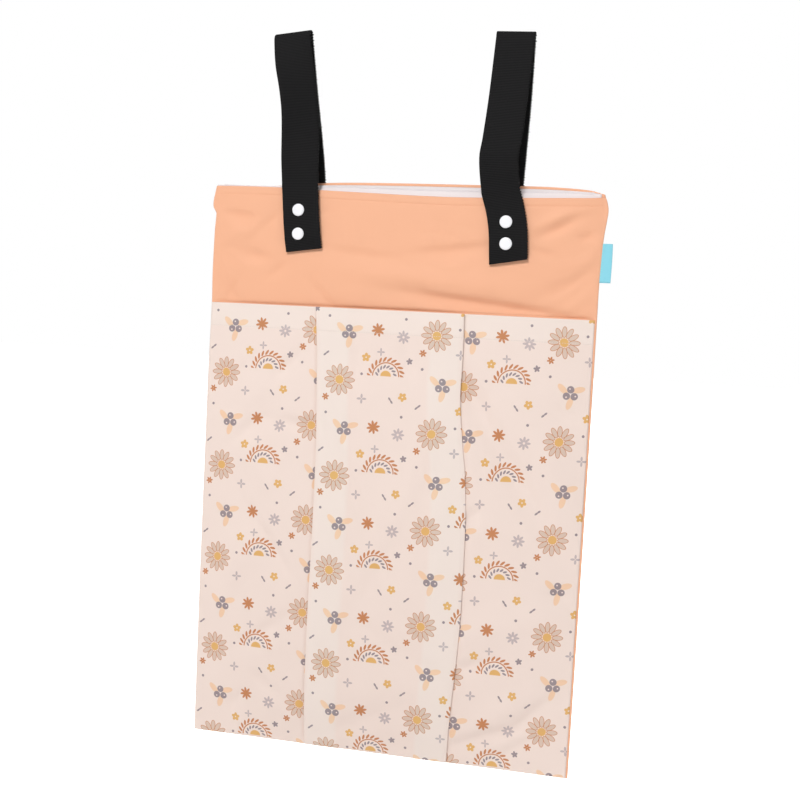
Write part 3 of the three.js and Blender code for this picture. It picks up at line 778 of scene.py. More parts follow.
def strap_place(leg, front, down):
    """Middle of the strap and its direction across: down is 0 at the rail, 1 at the mouth, 2 at the end."""
    x = leg["x"](down) * MM
    drop = RAIL * (down - 1) if down < 1 else leg.get("tail", STRAP_TAIL) * (down - 1)
    on_bag = max(drop, 0)
    side = -1 if front else 1
    if front:
        room = SNAP_ROOM * (1 - 0.6 * smooth(down, 1.78, 2))
        seat = swell(x, on_bag, FRONT_BELLY) + 0.6 * MM + room + STRAP_CLOTH / 2
    else:
        seat = swell(x, on_bag, BACK_BELLY) + 1.3 * MM + STRAP_CLOTH / 2
    bow = BOW * leg["bow"](down)
    free = CROWN + bow
    seated = smooth(down, 0.3, 1)
    depth = mix(free, seat, seated) + bow * seated
    turn = math.radians(leg["turn"](down))
    twist = math.radians(leg["twist"](down))
    across = Vector((math.cos(turn) * math.cos(twist), math.sin(twist), math.sin(turn)))
    return Vector((x, side * depth, CORNER - drop)), across


def strap_line(strap):
    """Closely spaced places from the back tail over the rail to the front tail."""
    places = [strap_place(strap["back"], False, 2 - 2 * k / LEG_PLACES) for k in range(LEG_PLACES)]
    top, across = strap_place(strap["front"], True, 0)
    for k in range(CROWN_PLACES + 1):
        angle = math.pi * k / CROWN_PLACES
        places.append((Vector((top.x, CROWN * math.cos(angle), CROWN * math.sin(angle))), across))
    return places + [strap_place(strap["front"], True, 2 * (k + 1) / LEG_PLACES) for k in range(LEG_PLACES)]


# %% Webbing
RIB = 1.6 * MM
ROWS_PER_RIB = 4
RIB_HIGH = 0.14 * MM
LOOP = 2.8 * MM
LOOP_HIGH = 1.9 * MM


def resample(places, step):
    """The same line with even steps along its length: a list of (place, direction across, distance)."""
    at = [0.0]
    for a, b in zip(places, places[1:]):
        at.append(at[-1] + (b[0] - a[0]).length)
    count = round(at[-1] / step)
    even = []
    k = 0
    for n in range(count + 1):
        distance = at[-1] * n / count
        while k < len(at) - 2 and at[k + 1] < distance:
            k += 1
        t = clamp((distance - at[k]) / (at[k + 1] - at[k]))
        place = places[k][0].lerp(places[k + 1][0], t)
        across = places[k][1].lerp(places[k + 1][1], t).normalized()
        even.append((place, across, distance))
    return even


def band_section(width, cloth, flat_points=13):
    """Round-edged section of a flat band: (across, out) pairs all the way round."""
    half, round_ = width / 2 - cloth / 2, cloth / 2
    ring = [(mix(-half, half, k / flat_points), round_) for k in range(flat_points + 1)]
    for k in range(1, 4):
        angle = math.pi * k / 4
        ring.append((half + round_ * math.sin(angle), round_ * math.cos(angle)))
    ring += [(-x, -y) for x, y in ring]
    return ring


def make_strap(name, strap):
    line = resample(strap_line(strap), RIB / ROWS_PER_RIB)
    ring = band_section(STRAP_WIDTH, STRAP_CLOTH)
    last = len(line) - 1
    frames = []
    for n, (place, across, distance) in enumerate(line):
        way = line[min(n + 1, last)][0] - line[max(n - 1, 0)][0]
        frames.append((place, across, way.cross(across).normalized(), distance))

    def point(i, j):
        place, across, out, distance = frames[j]
        over, up = ring[i % len(ring)]
        rib = RIB_HIGH * (abs(math.sin(math.pi * distance / RIB)) ** 0.8 - 0.6)
        at_edge = smooth(abs(over), STRAP_WIDTH / 2 - 1.6 * MM, STRAP_WIDTH / 2 - 0.4 * MM)
        uneven = 0.75 + noise.noise(Vector((distance / LOOP, 0, 5)))
        loop = LOOP_HIGH * uneven * (abs(math.sin(math.pi * distance / LOOP)) ** 0.8 - 0.6)
        wide = over + at_edge * (loop if over > 0 else -rib)
        return place + across * wide + out * (up + math.copysign(rib, up))

    def flat(i, j):
        return ring[i % len(ring)][0], frames[j][3]

    band = woven(name, len(ring), last, point, flat)
    bm = bmesh.new()
    bm.from_mesh(band.data)
    close_up(bm)
    bm.to_mesh(band.data)
    bm.free()
    print(name, "is", round(line[-1][2], 3), "m long with", len(band.data.polygons), "faces")
    return band, line[-1][2]


straps = {side: make_strap("strap_webbing_" + side, strap) for side, strap in STRAPS.items()}

# %% [markdown]
# ## Snaps
#
# A resin snap shows a low round cap. Its half section is a few points, and spin turns it about the axis. A
# row of SNAPS says which strap a cap is on, its x and its drop in millimetres.

# %% Snap caps
CAP_PROFILE = [(0, 1.55), (2.6, 1.53), (4.4, 1.42), (5.4, 1.15), (6, 0.75), (6.2, 0.4), (6.1, 0.1), (5.7, 0)]


def spun(name, profile, segments=48):
    """A solid of revolution about +Z from (radius, height) pairs in millimetres."""
    bm = bmesh.new()
    verts = [bm.verts.new((r * MM, 0, z * MM)) for r, z in profile]
    edges = [bm.edges.new(pair) for pair in zip(verts, verts[1:])]
    whole = {"angle": 2 * math.pi, "steps": segments, "use_merge": True}
    bmesh.ops.spin(bm, geom=verts + edges, cent=(0, 0, 0), axis=(0, 0, 1), **whole)
    close_up(bm)
    return mesh_of(bm, name)


SNAPS = [("left", -105, 23.6), ("left", -104.2, 47.6), ("right", 106.7, 29.1), ("right", 107.7, 50.3)]


def snap_frame(side, x, drop):
    """Centre of a cap's base on the strap, and the way it faces."""
    leg = STRAPS[side]["front"]
    down = 1 + drop * MM / leg.get("tail", STRAP_TAIL)
    middle, across = strap_place(leg, True, down)
    below, _ = strap_place(leg, True, down + 0.05)
    out = (below - middle).cross(across).normalized()
    if out.y > 0:
        out = -out
    face = middle.y + (x * MM - middle.x) * across.y / across.x + out.y * (STRAP_CLOTH / 2 + RIB_HIGH / 2)
    return Vector((x * MM, face, CORNER - drop * MM)), out


caps = []
for number, snap in enumerate(SNAPS, 1):
    base, out = snap_frame(*snap)
    mesh = spun("cap_" + str(number), CAP_PROFILE)
    mesh.transform(Matrix.Translation(base) @ out.to_track_quat("Z", "Y").to_matrix().to_4x4())
    caps.append(link("cap_" + str(number), mesh))
print("snap caps:", len(caps))

# %% [markdown]
# ## The zip
#
# Two white tapes run from hem to hem, and the closed coil lies along their middle. The ribbon follows the
# front edge and the back edge, which stands higher, so from the front it shows as a slim white strip. The
# coil's loops are small ovals in a row, which an array could place, but the row is curved, so a loop over
# their places is simpler.

# %% Zip tapes and coil
ZIP_SHARE = 0.985
COIL_SHARE = 0.95
TAPE_CLOTH = 0.8 * MM
TAPE_WIDTH = 12 * MM
TAPE_HIDDEN = 5.5 * MM
ZIP_INSET = 2.6 * MM
COIL_PITCH = 1.5 * MM
COIL_LIFT = 0.35 * MM
COIL_HALVES = (0.68 * MM, 1.8 * MM, 0.5 * MM)


def zip_place(share, q):
    """A place on the zip: q is -1 at the front edge and 1 at the back one, and past them it is inside."""
    x = share * HALF
    front = max(swell(x, 0, FRONT_BELLY) - ZIP_INSET, 0.6 * MM)
    back = max(swell(x, 0, BACK_BELLY) - ZIP_INSET, 0.6 * MM)
    low = FRONT_EDGE(x) + 1.2 * MM
    high = BACK_EDGE(x) + 2.6 * MM
    ends = abs(share / ZIP_SHARE) ** 4
    inside = min(abs(q), 1)
    arch = (1.8 * MM + 1.4 * MM * ends) * (1 - inside * inside)
    t = (clamp(q, -1, 1) + 1) / 2
    down = max(abs(q) - 1, 0) * TAPE_HIDDEN
    return Vector((x, mix(-front, back, t), CORNER - mix(low, high, t) + arch - down))


def zip_tape(name, from_q, to_q):
    columns, rows = 12, 120

    def point(i, j):
        return zip_place((2 * j / rows - 1) * ZIP_SHARE, mix(from_q, to_q, i / columns))

    tape = woven(name, columns, rows, point, lambda i, j: (i / columns * TAPE_WIDTH, j / rows * 2 * HALF))
    return thicken(tape, TAPE_CLOTH)


tape_front = zip_tape("zip_tape_cloth_front", -2, -0.03)
tape_back = zip_tape("zip_tape_cloth_back", 0.03, 2)


def make_coil():
    """The closed coil: a row of flat oval loops across the slit, all in one mesh."""
    bm = bmesh.new()
    count = round(2 * HALF * COIL_SHARE / COIL_PITCH)
    for k in range(count):
        share = (2 * (k + 0.5) / count - 1) * COIL_SHARE
        across = (zip_place(share, 0.08) - zip_place(share, -0.08)).normalized()
        up = Vector((1, 0, 0)).cross(across).normalized()
        turn = turn_to(Vector((1, 0, 0)), across, up)
        add_bead(bm, zip_place(share, 0) + up * COIL_LIFT, turn, COIL_HALVES, 8, 5)
    print("coil:", count, "loops")
    return link("zip_coil_loops", mesh_of(bm, "zip_coil_loops"))


coil = make_coil()

# %% [markdown]
# ## The tag
#
# A short ribbon is folded double and caught in the right seam, bare on both faces.

# %% Side tag
TAG_RIBBON = 21 * MM
TAG_HEIGHT = 38 * MM
TAG_DROP = 46 * MM
TAG_CLOTH = 0.45 * MM


def make_tag():
    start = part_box("side_tag")[0].x - 1.2 * MM
    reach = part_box("side_tag")[1].x - start
    turn = 0.38 * MM
    line = [(start + reach * k / 8, -turn) for k in range(8)]
    for k in range(7):
        angle = math.pi * k / 6
        line.append((start + reach - turn + turn * math.sin(angle), -turn * math.cos(angle)))
    line += [(start + reach * (7 - k) / 8, turn) for k in range(8)]
    rows = 24

    def point(i, j):
        x, y = line[i]
        drop = TAG_DROP + TAG_HEIGHT * (1 - j / rows)
        out = (x - start) / reach
        wave = 0.5 * MM * out * math.sin(2.4 * j / rows + 0.4)
        return Vector((x + 0.3 * MM * out * math.sin(3 * j / rows), y + wave, CORNER - drop))

    def flat(i, j):
        return i / len(line) * TAG_RIBBON, j / rows * TAG_HEIGHT

    return thicken(woven("tag_ribbon", len(line) - 1, rows, point, flat), TAG_CLOTH)


tag = make_tag()

# %% [markdown]
# ## Stitches
#
# Rows of stitches hold both hems and the pocket's, and a crossed box holds each strap on the back. A bump
# texture could draw them, but a thread stands proud of the cloth, so each stitch is a slim oval that a ray
# lays on the surface.

# %% Rows of stitches
STITCH_PITCH = 2.6 * MM
STITCH_LONG = 2 * MM
THREAD = 0.24 * MM
STITCH_HALVES = (STITCH_LONG / 2, THREAD, THREAD * 0.8)
RAY_START = 100 * MM
BOX_HALF = 14 * MM
BOX_TOP = 18 * MM
BOX_BOTTOM = 56 * MM


def steps_along(line, pitch):
    """Places every pitch along a line of (x, drop) corners, and its direction there."""
    places = []
    for (ax, ad), (bx, bd) in zip(line, line[1:]):
        length = math.hypot(bx - ax, bd - ad)
        count = max(1, round(length / pitch))
        way = Vector(((bx - ax) / length, 0, -(bd - ad) / length))
        for k in range(count):
            t = (k + 0.5) / count
            places.append((mix(ax, bx, t), mix(ad, bd, t), way))
    return places


def sew(name, obj, facing, lines):
    """One mesh with the stitches of some lines, laid on the front (facing -1) or the back (1) of a piece."""
    surface = BVHTree.FromObject(obj, bpy.context.evaluated_depsgraph_get())
    bm = bmesh.new()
    count = 0
    for line in lines:
        for x, drop, way in steps_along(line, STITCH_PITCH):
            start = Vector((x, facing * RAY_START, CORNER - drop))
            place, normal, _, _ = surface.ray_cast(start, Vector((0, -facing, 0)))
            if place is None:
                continue
            if normal.y * facing < 0:
                normal = -normal
            along = (way - normal * way.dot(normal)).normalized()
            turn = turn_to(along, normal.cross(along), normal)
            add_bead(bm, place + normal * THREAD * 0.2, turn, STITCH_HALVES, 6, 4)
            count += 1
    print(name, "has", count, "stitches")
    return link(name, mesh_of(bm, name))


def mouth_line(edge):
    """Corners of the seam that holds the hem at a panel's mouth."""
    xs = [mix(-197 * MM, 199 * MM, k / 44) for k in range(45)]
    return [(x, edge(x) + HEM_STITCH) for x in xs]


def box_on_strap(side):
    """A box with a cross in it, on the back tail of a strap."""

    def corner(across, drop):
        place, direction = strap_place(STRAPS[side]["back"], False, 1 + drop / STRAP_TAIL)
        return place.x + direction.x * across, drop - direction.z * across

    a, b = corner(-BOX_HALF, BOX_TOP), corner(BOX_HALF, BOX_TOP)
    c, d = corner(BOX_HALF, BOX_BOTTOM), corner(-BOX_HALF, BOX_BOTTOM)
    return [[a, b], [b, c], [c, d], [d, a], [a, c], [b, d]]


hem_line = [(mix(-198 * MM, 197 * MM, k / 40), POCKET_DROP + POCKET_STITCH) for k in range(41)]
sewn_front = sew("stitches_front", front_cloth, -1, [mouth_line(FRONT_EDGE)])
sewn_back = sew("stitches_back", back_cloth, 1, [mouth_line(BACK_EDGE)])
sewn_pocket = sew("stitches_pocket", pocket_cloth, -1, [hem_line])
sewn_straps = []
for side, (band, _) in straps.items():
    sewn_straps.append(sew("stitches_strap_" + side, band, 1, box_on_strap(side)))

# %% [markdown]
# ## Finishes
#
# All colours are procedural. The knit, the webbing's ribs and the print follow the UV map, which is in metres
# of cloth, so that they run round folds and pleats as they do on cut cloth. Effects that several materials
# share are node groups, and a small helper adds their nodes one call at a time.

# %% Node helpers


def srgb(r, g, b):
    """Linear colour from the 0 to 255 numbers of a picture."""

    def linear(c):
        return ((c / 255 + 0.055) / 1.055) ** 2.4 if c > 10 else c / 255 / 12.92

    return linear(r), linear(g), linear(b), 1.0


class Wires:
    """Adds nodes to a tree. Each call makes one node, joins or sets its inputs and returns an output."""

    def __init__(self, tree):
        self.tree = tree

    def node(self, kind, *inputs, **settings):
        node = self.tree.nodes.new(kind)
        for name, value in settings.items():
            setattr(node, name, value)
        for socket, value in zip(node.inputs, inputs):
            self.feed(socket, value)
        return node

    def feed(self, socket, value):
        if isinstance(value, bpy.types.NodeSocket):
            self.tree.links.new(value, socket)
        elif value is not None:
            socket.default_value = value

    def math(self, operation, *inputs):
        return self.node("ShaderNodeMath", *inputs, operation=operation).outputs[0]

    def vector(self, operation, *inputs):
        return self.node("ShaderNodeVectorMath", *inputs, operation=operation).outputs[0]

    def parts(self, vector):
        return self.node("ShaderNodeSeparateXYZ", vector).outputs

    def joined(self, *xyz):
        return self.node("ShaderNodeCombineXYZ", *xyz).outputs[0]

    def fade(self, value, low, high):
        """0 at low and 1 at high, with soft ends."""
        return self.node("ShaderNodeMapRange", value, low, high, interpolation_type="SMOOTHSTEP").outputs[0]

    def length(self, vector):
        return self.node("ShaderNodeVectorMath", vector, operation="LENGTH").outputs["Value"]

    def colour(self, mask, under, over, blend="MIX"):
        node = self.node("ShaderNodeMix", data_type="RGBA", blend_type=blend)
        for socket, value in ((node.inputs[0], mask), (node.inputs[6], under), (node.inputs[7], over)):
            self.feed(socket, value)
        return node.outputs[2]

    def group(self, tree, **inputs):
        node = self.tree.nodes.new("ShaderNodeGroup")
        node.node_tree = tree
        for name, value in inputs.items():
            self.feed(node.inputs[name], value)
        return node.outputs[0]


def shader_group(name, inputs, output, kind):
    """A node group with one output. inputs are (name, kind, value) rows. Returns its tree, inputs and end."""
    tree = bpy.data.node_groups.new(name, "ShaderNodeTree")
    for label, socket_kind, value in inputs:
        socket = tree.interface.new_socket(label, in_out="INPUT", socket_type="NodeSocket" + socket_kind)
        socket.default_value = value
    tree.interface.new_socket(output, in_out="OUTPUT", socket_type="NodeSocket" + kind)
    start = tree.nodes.new("NodeGroupInput")
    end = tree.nodes.new("NodeGroupOutput")
    return tree, start.outputs, end.inputs[0]


# %% [markdown]
# ### The print
#
# A print could be an image, but a repeat is easy to compute. One group finds the place within the repeat, in
# millimetres from a motif's middle, with every other column dropped by half a repeat. The other draws a ring
# of petals, from one round dot to a daisy's twelve petals and an arch's ring of leaves. Laid over each other
# in the right colours, they give daisies, leafy arches, berries, small flowers and dots.

# %% Groups for the print
REPEAT = Vector((98, 98, 1))


def make_half_drop():
    inputs = [("Cloth", "Vector", (0, 0, 0)), ("Middle", "Vector", (0, 0, 0))]
    tree, given, end = shader_group("half_drop_repeat", inputs, "Place", "Vector")
    w = Wires(tree)
    in_mm = w.node("ShaderNodeVectorMath", given["Cloth"], operation="SCALE")
    w.feed(in_mm.inputs["Scale"], 1 / MM)
    from_middle = w.vector("SUBTRACT", in_mm.outputs[0], given["Middle"])
    u, v, _ = w.parts(w.vector("DIVIDE", from_middle, REPEAT))
    u = w.math("ADD", u, 0.5)
    v = w.math("MULTIPLY_ADD", w.math("FLOOR", u), 0.5, v)
    v = w.math("ADD", v, 0.5)
    cell = w.vector("FRACTION", w.joined(u, v, 0.5))
    place = w.vector("MULTIPLY", w.vector("SUBTRACT", cell, (0.5, 0.5, 0.5)), REPEAT)
    w.feed(end, place)
    return tree


def make_petal_ring():
    numbers = {"Petals": 5.0, "Middle": 3.0, "Long": 2.0, "Wide": 1.0, "Turn": 0.0, "Lean": 0.0}
    inputs = [("Place", "Vector", (0, 0, 0))] + [(name, "Float", value) for name, value in numbers.items()]
    tree, given, end = shader_group("petal_ring", inputs, "Mask", "Float")
    w = Wires(tree)
    x, y, _ = w.parts(given["Place"])
    radius = w.length(given["Place"])
    step = w.math("DIVIDE", 2 * math.pi, given["Petals"])
    share = w.math("DIVIDE", w.math("SUBTRACT", w.math("ARCTAN2", y, x), given["Turn"]), step)
    from_axis = w.math("MULTIPLY", w.math("SUBTRACT", share, w.math("ROUND", share)), step)
    along = w.math("SUBTRACT", w.math("MULTIPLY", radius, w.math("COSINE", from_axis)), given["Middle"])
    beside = w.math("MULTIPLY", radius, w.math("SINE", from_axis))
    flat = w.joined(along, beside, 0)
    leant = w.node("ShaderNodeVectorRotate", flat, (0, 0, 0), (0, 0, 1), rotation_type="Z_AXIS")
    w.feed(leant.inputs["Angle"], given["Lean"])
    along, beside, _ = w.parts(leant.outputs[0])
    oval = w.vector("DIVIDE", w.joined(along, beside, 0), w.joined(given["Long"], given["Wide"], 1))
    w.feed(end, w.fade(w.length(oval), 1.06, 0.94))
    return tree


half_drop = make_half_drop()
petal_ring = make_petal_ring()


# %% The printed cloth's colour
CREAM = srgb(237, 218, 208)
TERRACOTTA = srgb(196, 130, 86)
AMBER = srgb(223, 174, 106)
BEIGE_PINK = srgb(215, 190, 174)
MAUVE_GREY = srgb(152, 137, 140)
PALE_MAUVE = srgb(194, 177, 176)
PALE_PEACH = srgb(238, 200, 168)
MOTIFS = [
    # (middle in the repeat, colour, petals, middle of petals, half length, half width, turn, lean)
    ((22, 26), TERRACOTTA, 12, 10.4, 5.6, 2.6, 0, 0),
    ((22, 26), BEIGE_PINK, 12, 10.4, 5, 2.05, 0, 0),
    ((22, 26), AMBER, 1, 0, 4.4, 4.4, 0, 0),
    ((30, 74), PALE_PEACH, 3, 9.2, 6.4, 3, 0.5, 0.25),
    ((30, 74), MAUVE_GREY, 3, 4.4, 3.6, 3.6, 1.55, 0),
    ((30, 74), CREAM, 3, 5.2, 0.8, 0.8, 1.7, 0),
    ((60, 78), TERRACOTTA, 8, 4, 2.9, 1.25, 0.2, 0),
    ((60, 78), TERRACOTTA, 1, 0, 1.9, 1.9, 0, 0),
    ((86, 72), PALE_MAUVE, 8, 3.9, 2.8, 1.2, 0, 0),
    ((48, 50), AMBER, 5, 2.5, 2.1, 1.6, 0.3, 0),
    ((48, 50), CREAM, 1, 0, 0.8, 0.8, 0, 0),
    ((88, 12), AMBER, 5, 2.5, 2.1, 1.6, 0.9, 0),
    ((88, 12), CREAM, 1, 0, 0.8, 0.8, 0, 0),
    ((6, 52), MAUVE_GREY, 2, 1.7, 2, 0.95, 0.7, 0),
    ((76, 8), MAUVE_GREY, 2, 1.7, 2, 0.95, 2.2, 0),
    ((46, 8), PALE_MAUVE, 4, 2.7, 2.3, 1.1, 0, 0),
    ((45, 33), MAUVE_GREY, 1, 0, 1.4, 1.4, 0, 0),
    ((9, 90), MAUVE_GREY, 1, 0, 1.4, 1.4, 0, 0),
    ((93, 48), MAUVE_GREY, 5, 1.8, 1.7, 1.05, 0.5, 0),
    ((8, 8), TERRACOTTA, 6, 2.1, 1.8, 0.9, 0.2, 0),
    ((63, 56), PALE_MAUVE, 4, 2.2, 2, 0.9, 0, 0),
    ((88, 90), MAUVE_GREY, 1, 0, 1.4, 1.4, 0, 0),
]
ARCH = (70, 32)
STEM_RADIUS = 13.6
ARCH_RINGS = {
    "leaves": (22, 17, 3.1, 1.15, 0, 0.7),
    "inner": (16, 9.6, 2.2, 1, 0.2, 0.7),
    "sun": (1, 0, 5.6, 5.6, 0, 0),
}


def print_colour():
    """Node group for the printed colour, from the place on the cloth in metres."""
    tree, given, end = shader_group("small_flower_print", [("Cloth", "Vector", (0, 0, 0))], "Color", "Color")
    w = Wires(tree)
    places = {}
    colour = CREAM

    def place_at(middle):
        if middle not in places:
            places[middle] = w.group(half_drop, Cloth=given["Cloth"], Middle=(middle[0], middle[1], 0))
        return places[middle]

    def ring(middle, *shape):
        numbers = dict(zip(("Petals", "Middle", "Long", "Wide", "Turn", "Lean"), shape))
        return w.group(petal_ring, Place=place_at(middle), **numbers)

    for middle, ink, *shape in MOTIFS:
        colour = w.colour(ring(middle, *shape), colour, ink)
    place = place_at(ARCH)
    above = w.fade(w.parts(place)[1], -0.4, 0.2)
    from_stem = w.math("ABSOLUTE", w.math("SUBTRACT", w.length(place), STEM_RADIUS))
    rings = {name: ring(ARCH, *shape) for name, shape in ARCH_RINGS.items()}
    outer = w.math("MAXIMUM", rings["leaves"], w.fade(from_stem, 0.75, 0.45))
    for mask, ink in ((outer, TERRACOTTA), (rings["inner"], MAUVE_GREY), (rings["sun"], AMBER)):
        colour = w.colour(w.math("MULTIPLY", mask, above), colour, ink)
    w.feed(end, colour)
    return tree


flower_print = print_colour()
print("print:", len(flower_print.nodes), "nodes,", len(MOTIFS) + len(ARCH_RINGS), "rings of petals")

# %% [markdown]
# ### Knit, ribs and the other finishes
#
# The knit is a fine relief of small humps, under a millimetre apart, and the webbing's ribs have painted
# shade, a darker colour in the grooves between them. One group that reads the cloth's UV map makes both.

# %% Humps, cloth and plastic


def make_humps():
    """Rows of small humps: Across and Down are the pitches in metres."""
    tree, given, end = shader_group(
        "cloth_humps",
        [("Cloth", "Vector", (0, 0, 0)), ("Across", "Float", 0.0006), ("Down", "Float", 0.0006)],
        "Height",
        "Float",
    )
    w = Wires(tree)
    u, v, _ = w.parts(given["Cloth"])
    turns = w.math("DIVIDE", 2 * math.pi, given["Across"])
    over = w.math("COSINE", w.math("MULTIPLY", u, turns))
    under = w.math("SINE", w.math("MULTIPLY", v, w.math("DIVIDE", 2 * math.pi, given["Down"])))
    w.feed(end, w.math("MULTIPLY_ADD", w.math("MULTIPLY", over, under), 0.5, 0.5))
    return tree


humps = make_humps()


def new_material(name, **inputs):
    """A material, its wires and the inputs of its shader, with those set that are given by name."""
    material = bpy.data.materials.new(name)
    material.use_nodes = True
    w = Wires(material.node_tree)
    shader = material.node_tree.nodes["Principled BSDF"].inputs
    for label, value in inputs.items():
        w.feed(shader[label.replace("_", " ")], value)
    return material, w, shader


def add_relief(w, shader, height, high):
    """Raises the surface by high metres where the height is 1."""
    bump_node = w.node("ShaderNodeBump", 1.0, high)
    w.feed(bump_node.inputs["Height"], height)
    w.feed(shader["Normal"], bump_node.outputs[0])


def cloth_finish(name, colour, roughness, pitch, relief, sheen=0.0, specular=0.4):
    """Material for a cloth: a colour, or a function that wires one, with rows of humps for knit or weave."""
    gloss = {"Sheen_Weight": sheen, "Sheen_Roughness": 0.5, "Specular_IOR_Level": specular}
    material, w, shader = new_material(name, Roughness=roughness, **gloss)
    cloth = w.node("ShaderNodeUVMap", uv_map="cloth").outputs[0]
    w.feed(shader["Base Color"], colour if isinstance(colour, tuple) else colour(w, cloth))
    height = w.group(humps, Cloth=cloth, Across=pitch[0] * MM, Down=pitch[1] * MM)
    add_relief(w, shader, height, relief * MM)
    return material


# metres between humps where there are to be none
NO_PITCH = 1000.0


# Painted shade: the webbing's colour is darker in the grooves between its ribs and lighter on their crests.
def black_with_painted_rib_shade(w, cloth):
    rib = w.group(humps, Cloth=cloth, Across=NO_PITCH, Down=RIB)
    return w.colour(rib, srgb(10, 10, 11), srgb(30, 29, 30))


GRAINS_A_METRE = 600.0
GLOSS_RANGE = 0.12


def plastic(name, colour, roughness, grain=0.01):
    """Smooth stuff: its gloss varies a little, and grain millimetres of relief keep it from a mirror."""
    material, w, shader = new_material(name, Base_Color=colour)
    cloudy = w.node("ShaderNodeTexNoise", noise_dimensions="3D")
    w.feed(cloudy.inputs["Vector"], w.node("ShaderNodeTexCoord").outputs["Object"])
    w.feed(cloudy.inputs["Scale"], GRAINS_A_METRE)
    vary = w.math("MULTIPLY_ADD", cloudy.outputs[0], GLOSS_RANGE, roughness - GLOSS_RANGE / 2)
    w.feed(shader["Roughness"], vary)
    add_relief(w, shader, cloudy.outputs[0], grain * MM)
    return material


BACKED_TINT = (1, 1.045, 1.055, 1)
WHITE = (1, 1, 1, 1)


def printed_colour(w, cloth):
    """The print, whiter where more of the white cloth lies behind it."""
    backed = w.node("ShaderNodeAttribute", attribute_name="backed").outputs["Fac"]
    tint = w.colour(backed, WHITE, BACKED_TINT)
    return w.colour(1.0, w.group(flower_print, Cloth=cloth), tint, "MULTIPLY")


# the numbers are roughness, pitch of the humps across and down, and their height, in millimetres
peach = cloth_finish("peach_knit", srgb(242, 180, 144), 0.6, (0.7, 0.9), 0.05, sheen=0.12)
printed = cloth_finish("printed_knit", printed_colour, 0.6, (0.7, 0.9), 0.04, sheen=0.08)
webbing = cloth_finish("black_webbing", black_with_painted_rib_shade, 0.75, (1.2, 1.6), 0.12, specular=0.15)
white_tape = cloth_finish("white_tape", srgb(241, 232, 232), 0.7, (0.8, 0.6), 0.05)
turquoise = cloth_finish("turquoise_ribbon", srgb(138, 213, 230), 0.45, (0.6, 0.4), 0.03)
white_plastic = plastic("white_plastic", srgb(246, 246, 249), 0.25)
coil_plastic = plastic("coil_plastic", srgb(238, 230, 232), 0.4)
peach_thread = plastic("peach_thread", srgb(240, 176, 138), 0.6, 0.03)
white_thread = plastic("white_thread", srgb(226, 212, 204), 0.6, 0.03)
black_thread = plastic("black_thread", srgb(40, 39, 41), 0.6, 0.03)

finish_piece(front_cloth, peach, "body_cloth", "front_panel")
finish_piece(back_cloth, peach, "body_cloth", "back_panel")
finish_piece(pocket_cloth, printed, "printed_cloth", "pocket_panel")
for side, (band, length) in straps.items():
    finish_piece(band, webbing, "webbing", "strap_" + side)
for number, cap in enumerate(caps, 1):
    finish_piece(cap, white_plastic, "snap_plastic", "snap_cap_" + str(number))
finish_piece(tape_front, white_tape, "zip_tape", "zip_tape_front")
finish_piece(tape_back, white_tape, "zip_tape", "zip_tape_back")
finish_piece(coil, coil_plastic, "zip_plastic", "zip_coil")
finish_piece(tag, turquoise, "tag_ribbon", "side_tag")
finish_piece(sewn_front, peach_thread, "body_cloth")
finish_piece(sewn_back, peach_thread, "body_cloth")
finish_piece(sewn_pocket, white_thread, "printed_cloth")
for sewn in sewn_straps:
    finish_piece(sewn, black_thread, "webbing")
for name in ("zip_slider", "zip_pull", "snap_stud_1", "snap_stud_2", "snap_stud_3", "snap_stud_4"):
    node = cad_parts[name]
    node.data.materials.clear()
    node.data.materials.append(white_plastic)

# %% [markdown]
# ## Floor, light and camera
#
# The bag hangs over a pale floor in soft light. The camera stands where the photo's did: its place and turn
# were worked out from the four corners of the bag, 1.02 m in front of it and a little to the right.

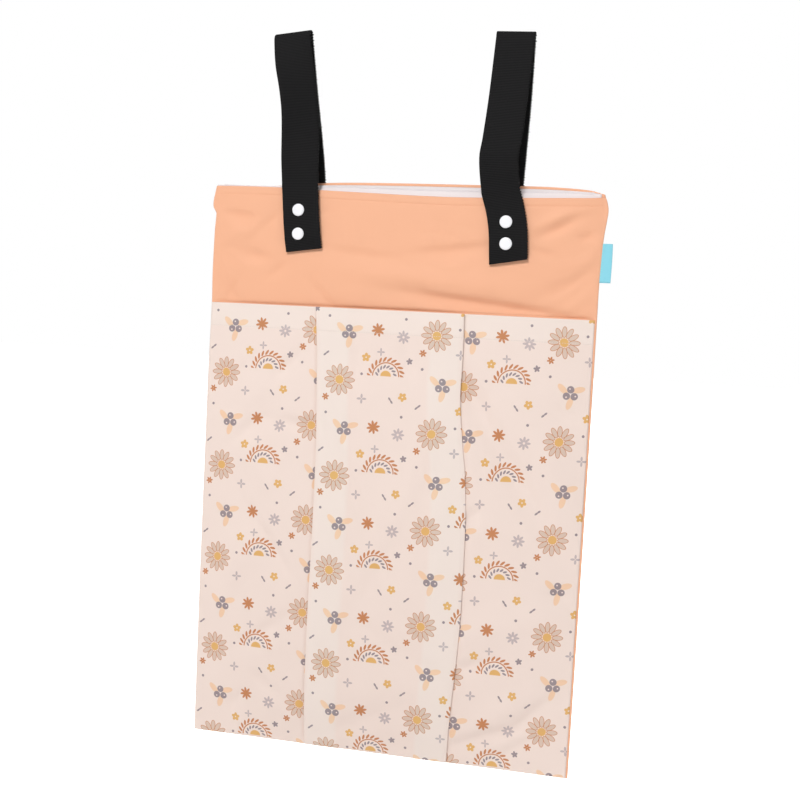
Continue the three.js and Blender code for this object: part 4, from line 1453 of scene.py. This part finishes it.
# %% Floor, light and camera
FLOOR_SIZE = 12
FLOOR_GAP = 60 * MM
bm = bmesh.new()
bmesh.ops.create_grid(bm, x_segments=1, y_segments=1, size=FLOOR_SIZE)
bmesh.ops.translate(bm, verts=bm.verts, vec=(0, 0, CORNER - HEIGHT - FLOOR_GAP))
floor = link("floor", mesh_of(bm, "floor"))
pale_floor = plastic("pale_floor", srgb(238, 238, 238), 0.95)
w = Wires(pale_floor.node_tree)
shader = pale_floor.node_tree.nodes["Principled BSDF"].inputs
w.feed(shader["Emission Color"], WHITE)
w.feed(shader["Emission Strength"], w.node("ShaderNodeLightPath").outputs["Is Camera Ray"])
floor.data.materials.append(pale_floor)

SKY_LOW = 0.22
SKY_HIGH = 0.35
world = bpy.data.worlds.new("studio")
scene.world = world
world.use_nodes = True
w = Wires(world.node_tree)
height = w.parts(w.node("ShaderNodeTexCoord").outputs["Generated"])[2]
light = w.math("MULTIPLY_ADD", w.fade(height, -0.4, 0.9), SKY_HIGH - SKY_LOW, SKY_LOW)
seen = w.math("MAXIMUM", w.node("ShaderNodeLightPath").outputs["Is Camera Ray"], light)
w.feed(world.node_tree.nodes["Background"].inputs["Color"], WHITE)
w.feed(world.node_tree.nodes["Background"].inputs["Strength"], seen)


MIDDLE = Vector((0, 0, CORNER - HEIGHT / 2))
LIGHT_SIZE = 1.8


def area_light(name, place, power):
    """A round lamp that faces the middle of the bag."""
    light = bpy.data.lights.new(name, "AREA")
    light.shape = "DISK"
    light.size = LIGHT_SIZE
    light.energy = power
    obj = link(name, light)
    obj.location = place
    obj.rotation_euler = (MIDDLE - Vector(place)).to_track_quat("-Z", "Y").to_euler()


area_light("key", (-0.8, -4.4, 3.0), 198)
area_light("rim", (0.9, 4.2, 3.0), 200)

SENSOR = 36
FOCAL_PIXELS = 1022
PHOTO_PIXELS = 800
camera_data = bpy.data.cameras.new("camera")
camera_data.sensor_width = SENSOR
camera_data.lens = SENSOR * FOCAL_PIXELS / PHOTO_PIXELS
camera = link("camera", camera_data)
CAMERA_PLACE = Vector((208.3, -1021.2, -137.8)) * MM + Vector((0, 0, CORNER))
CAMERA_RIGHT = Vector((0.9793, 0.1957, 0.0518))
CAMERA_UP = Vector((-0.0645, 0.0589, 0.9962))
back = CAMERA_RIGHT.cross(CAMERA_UP).normalized()
turn = turn_to(CAMERA_RIGHT, back.cross(CAMERA_RIGHT), back)
camera.matrix_world = Matrix.Translation(CAMERA_PLACE) @ turn
scene.camera = camera
scene.view_settings.view_transform = "Standard"
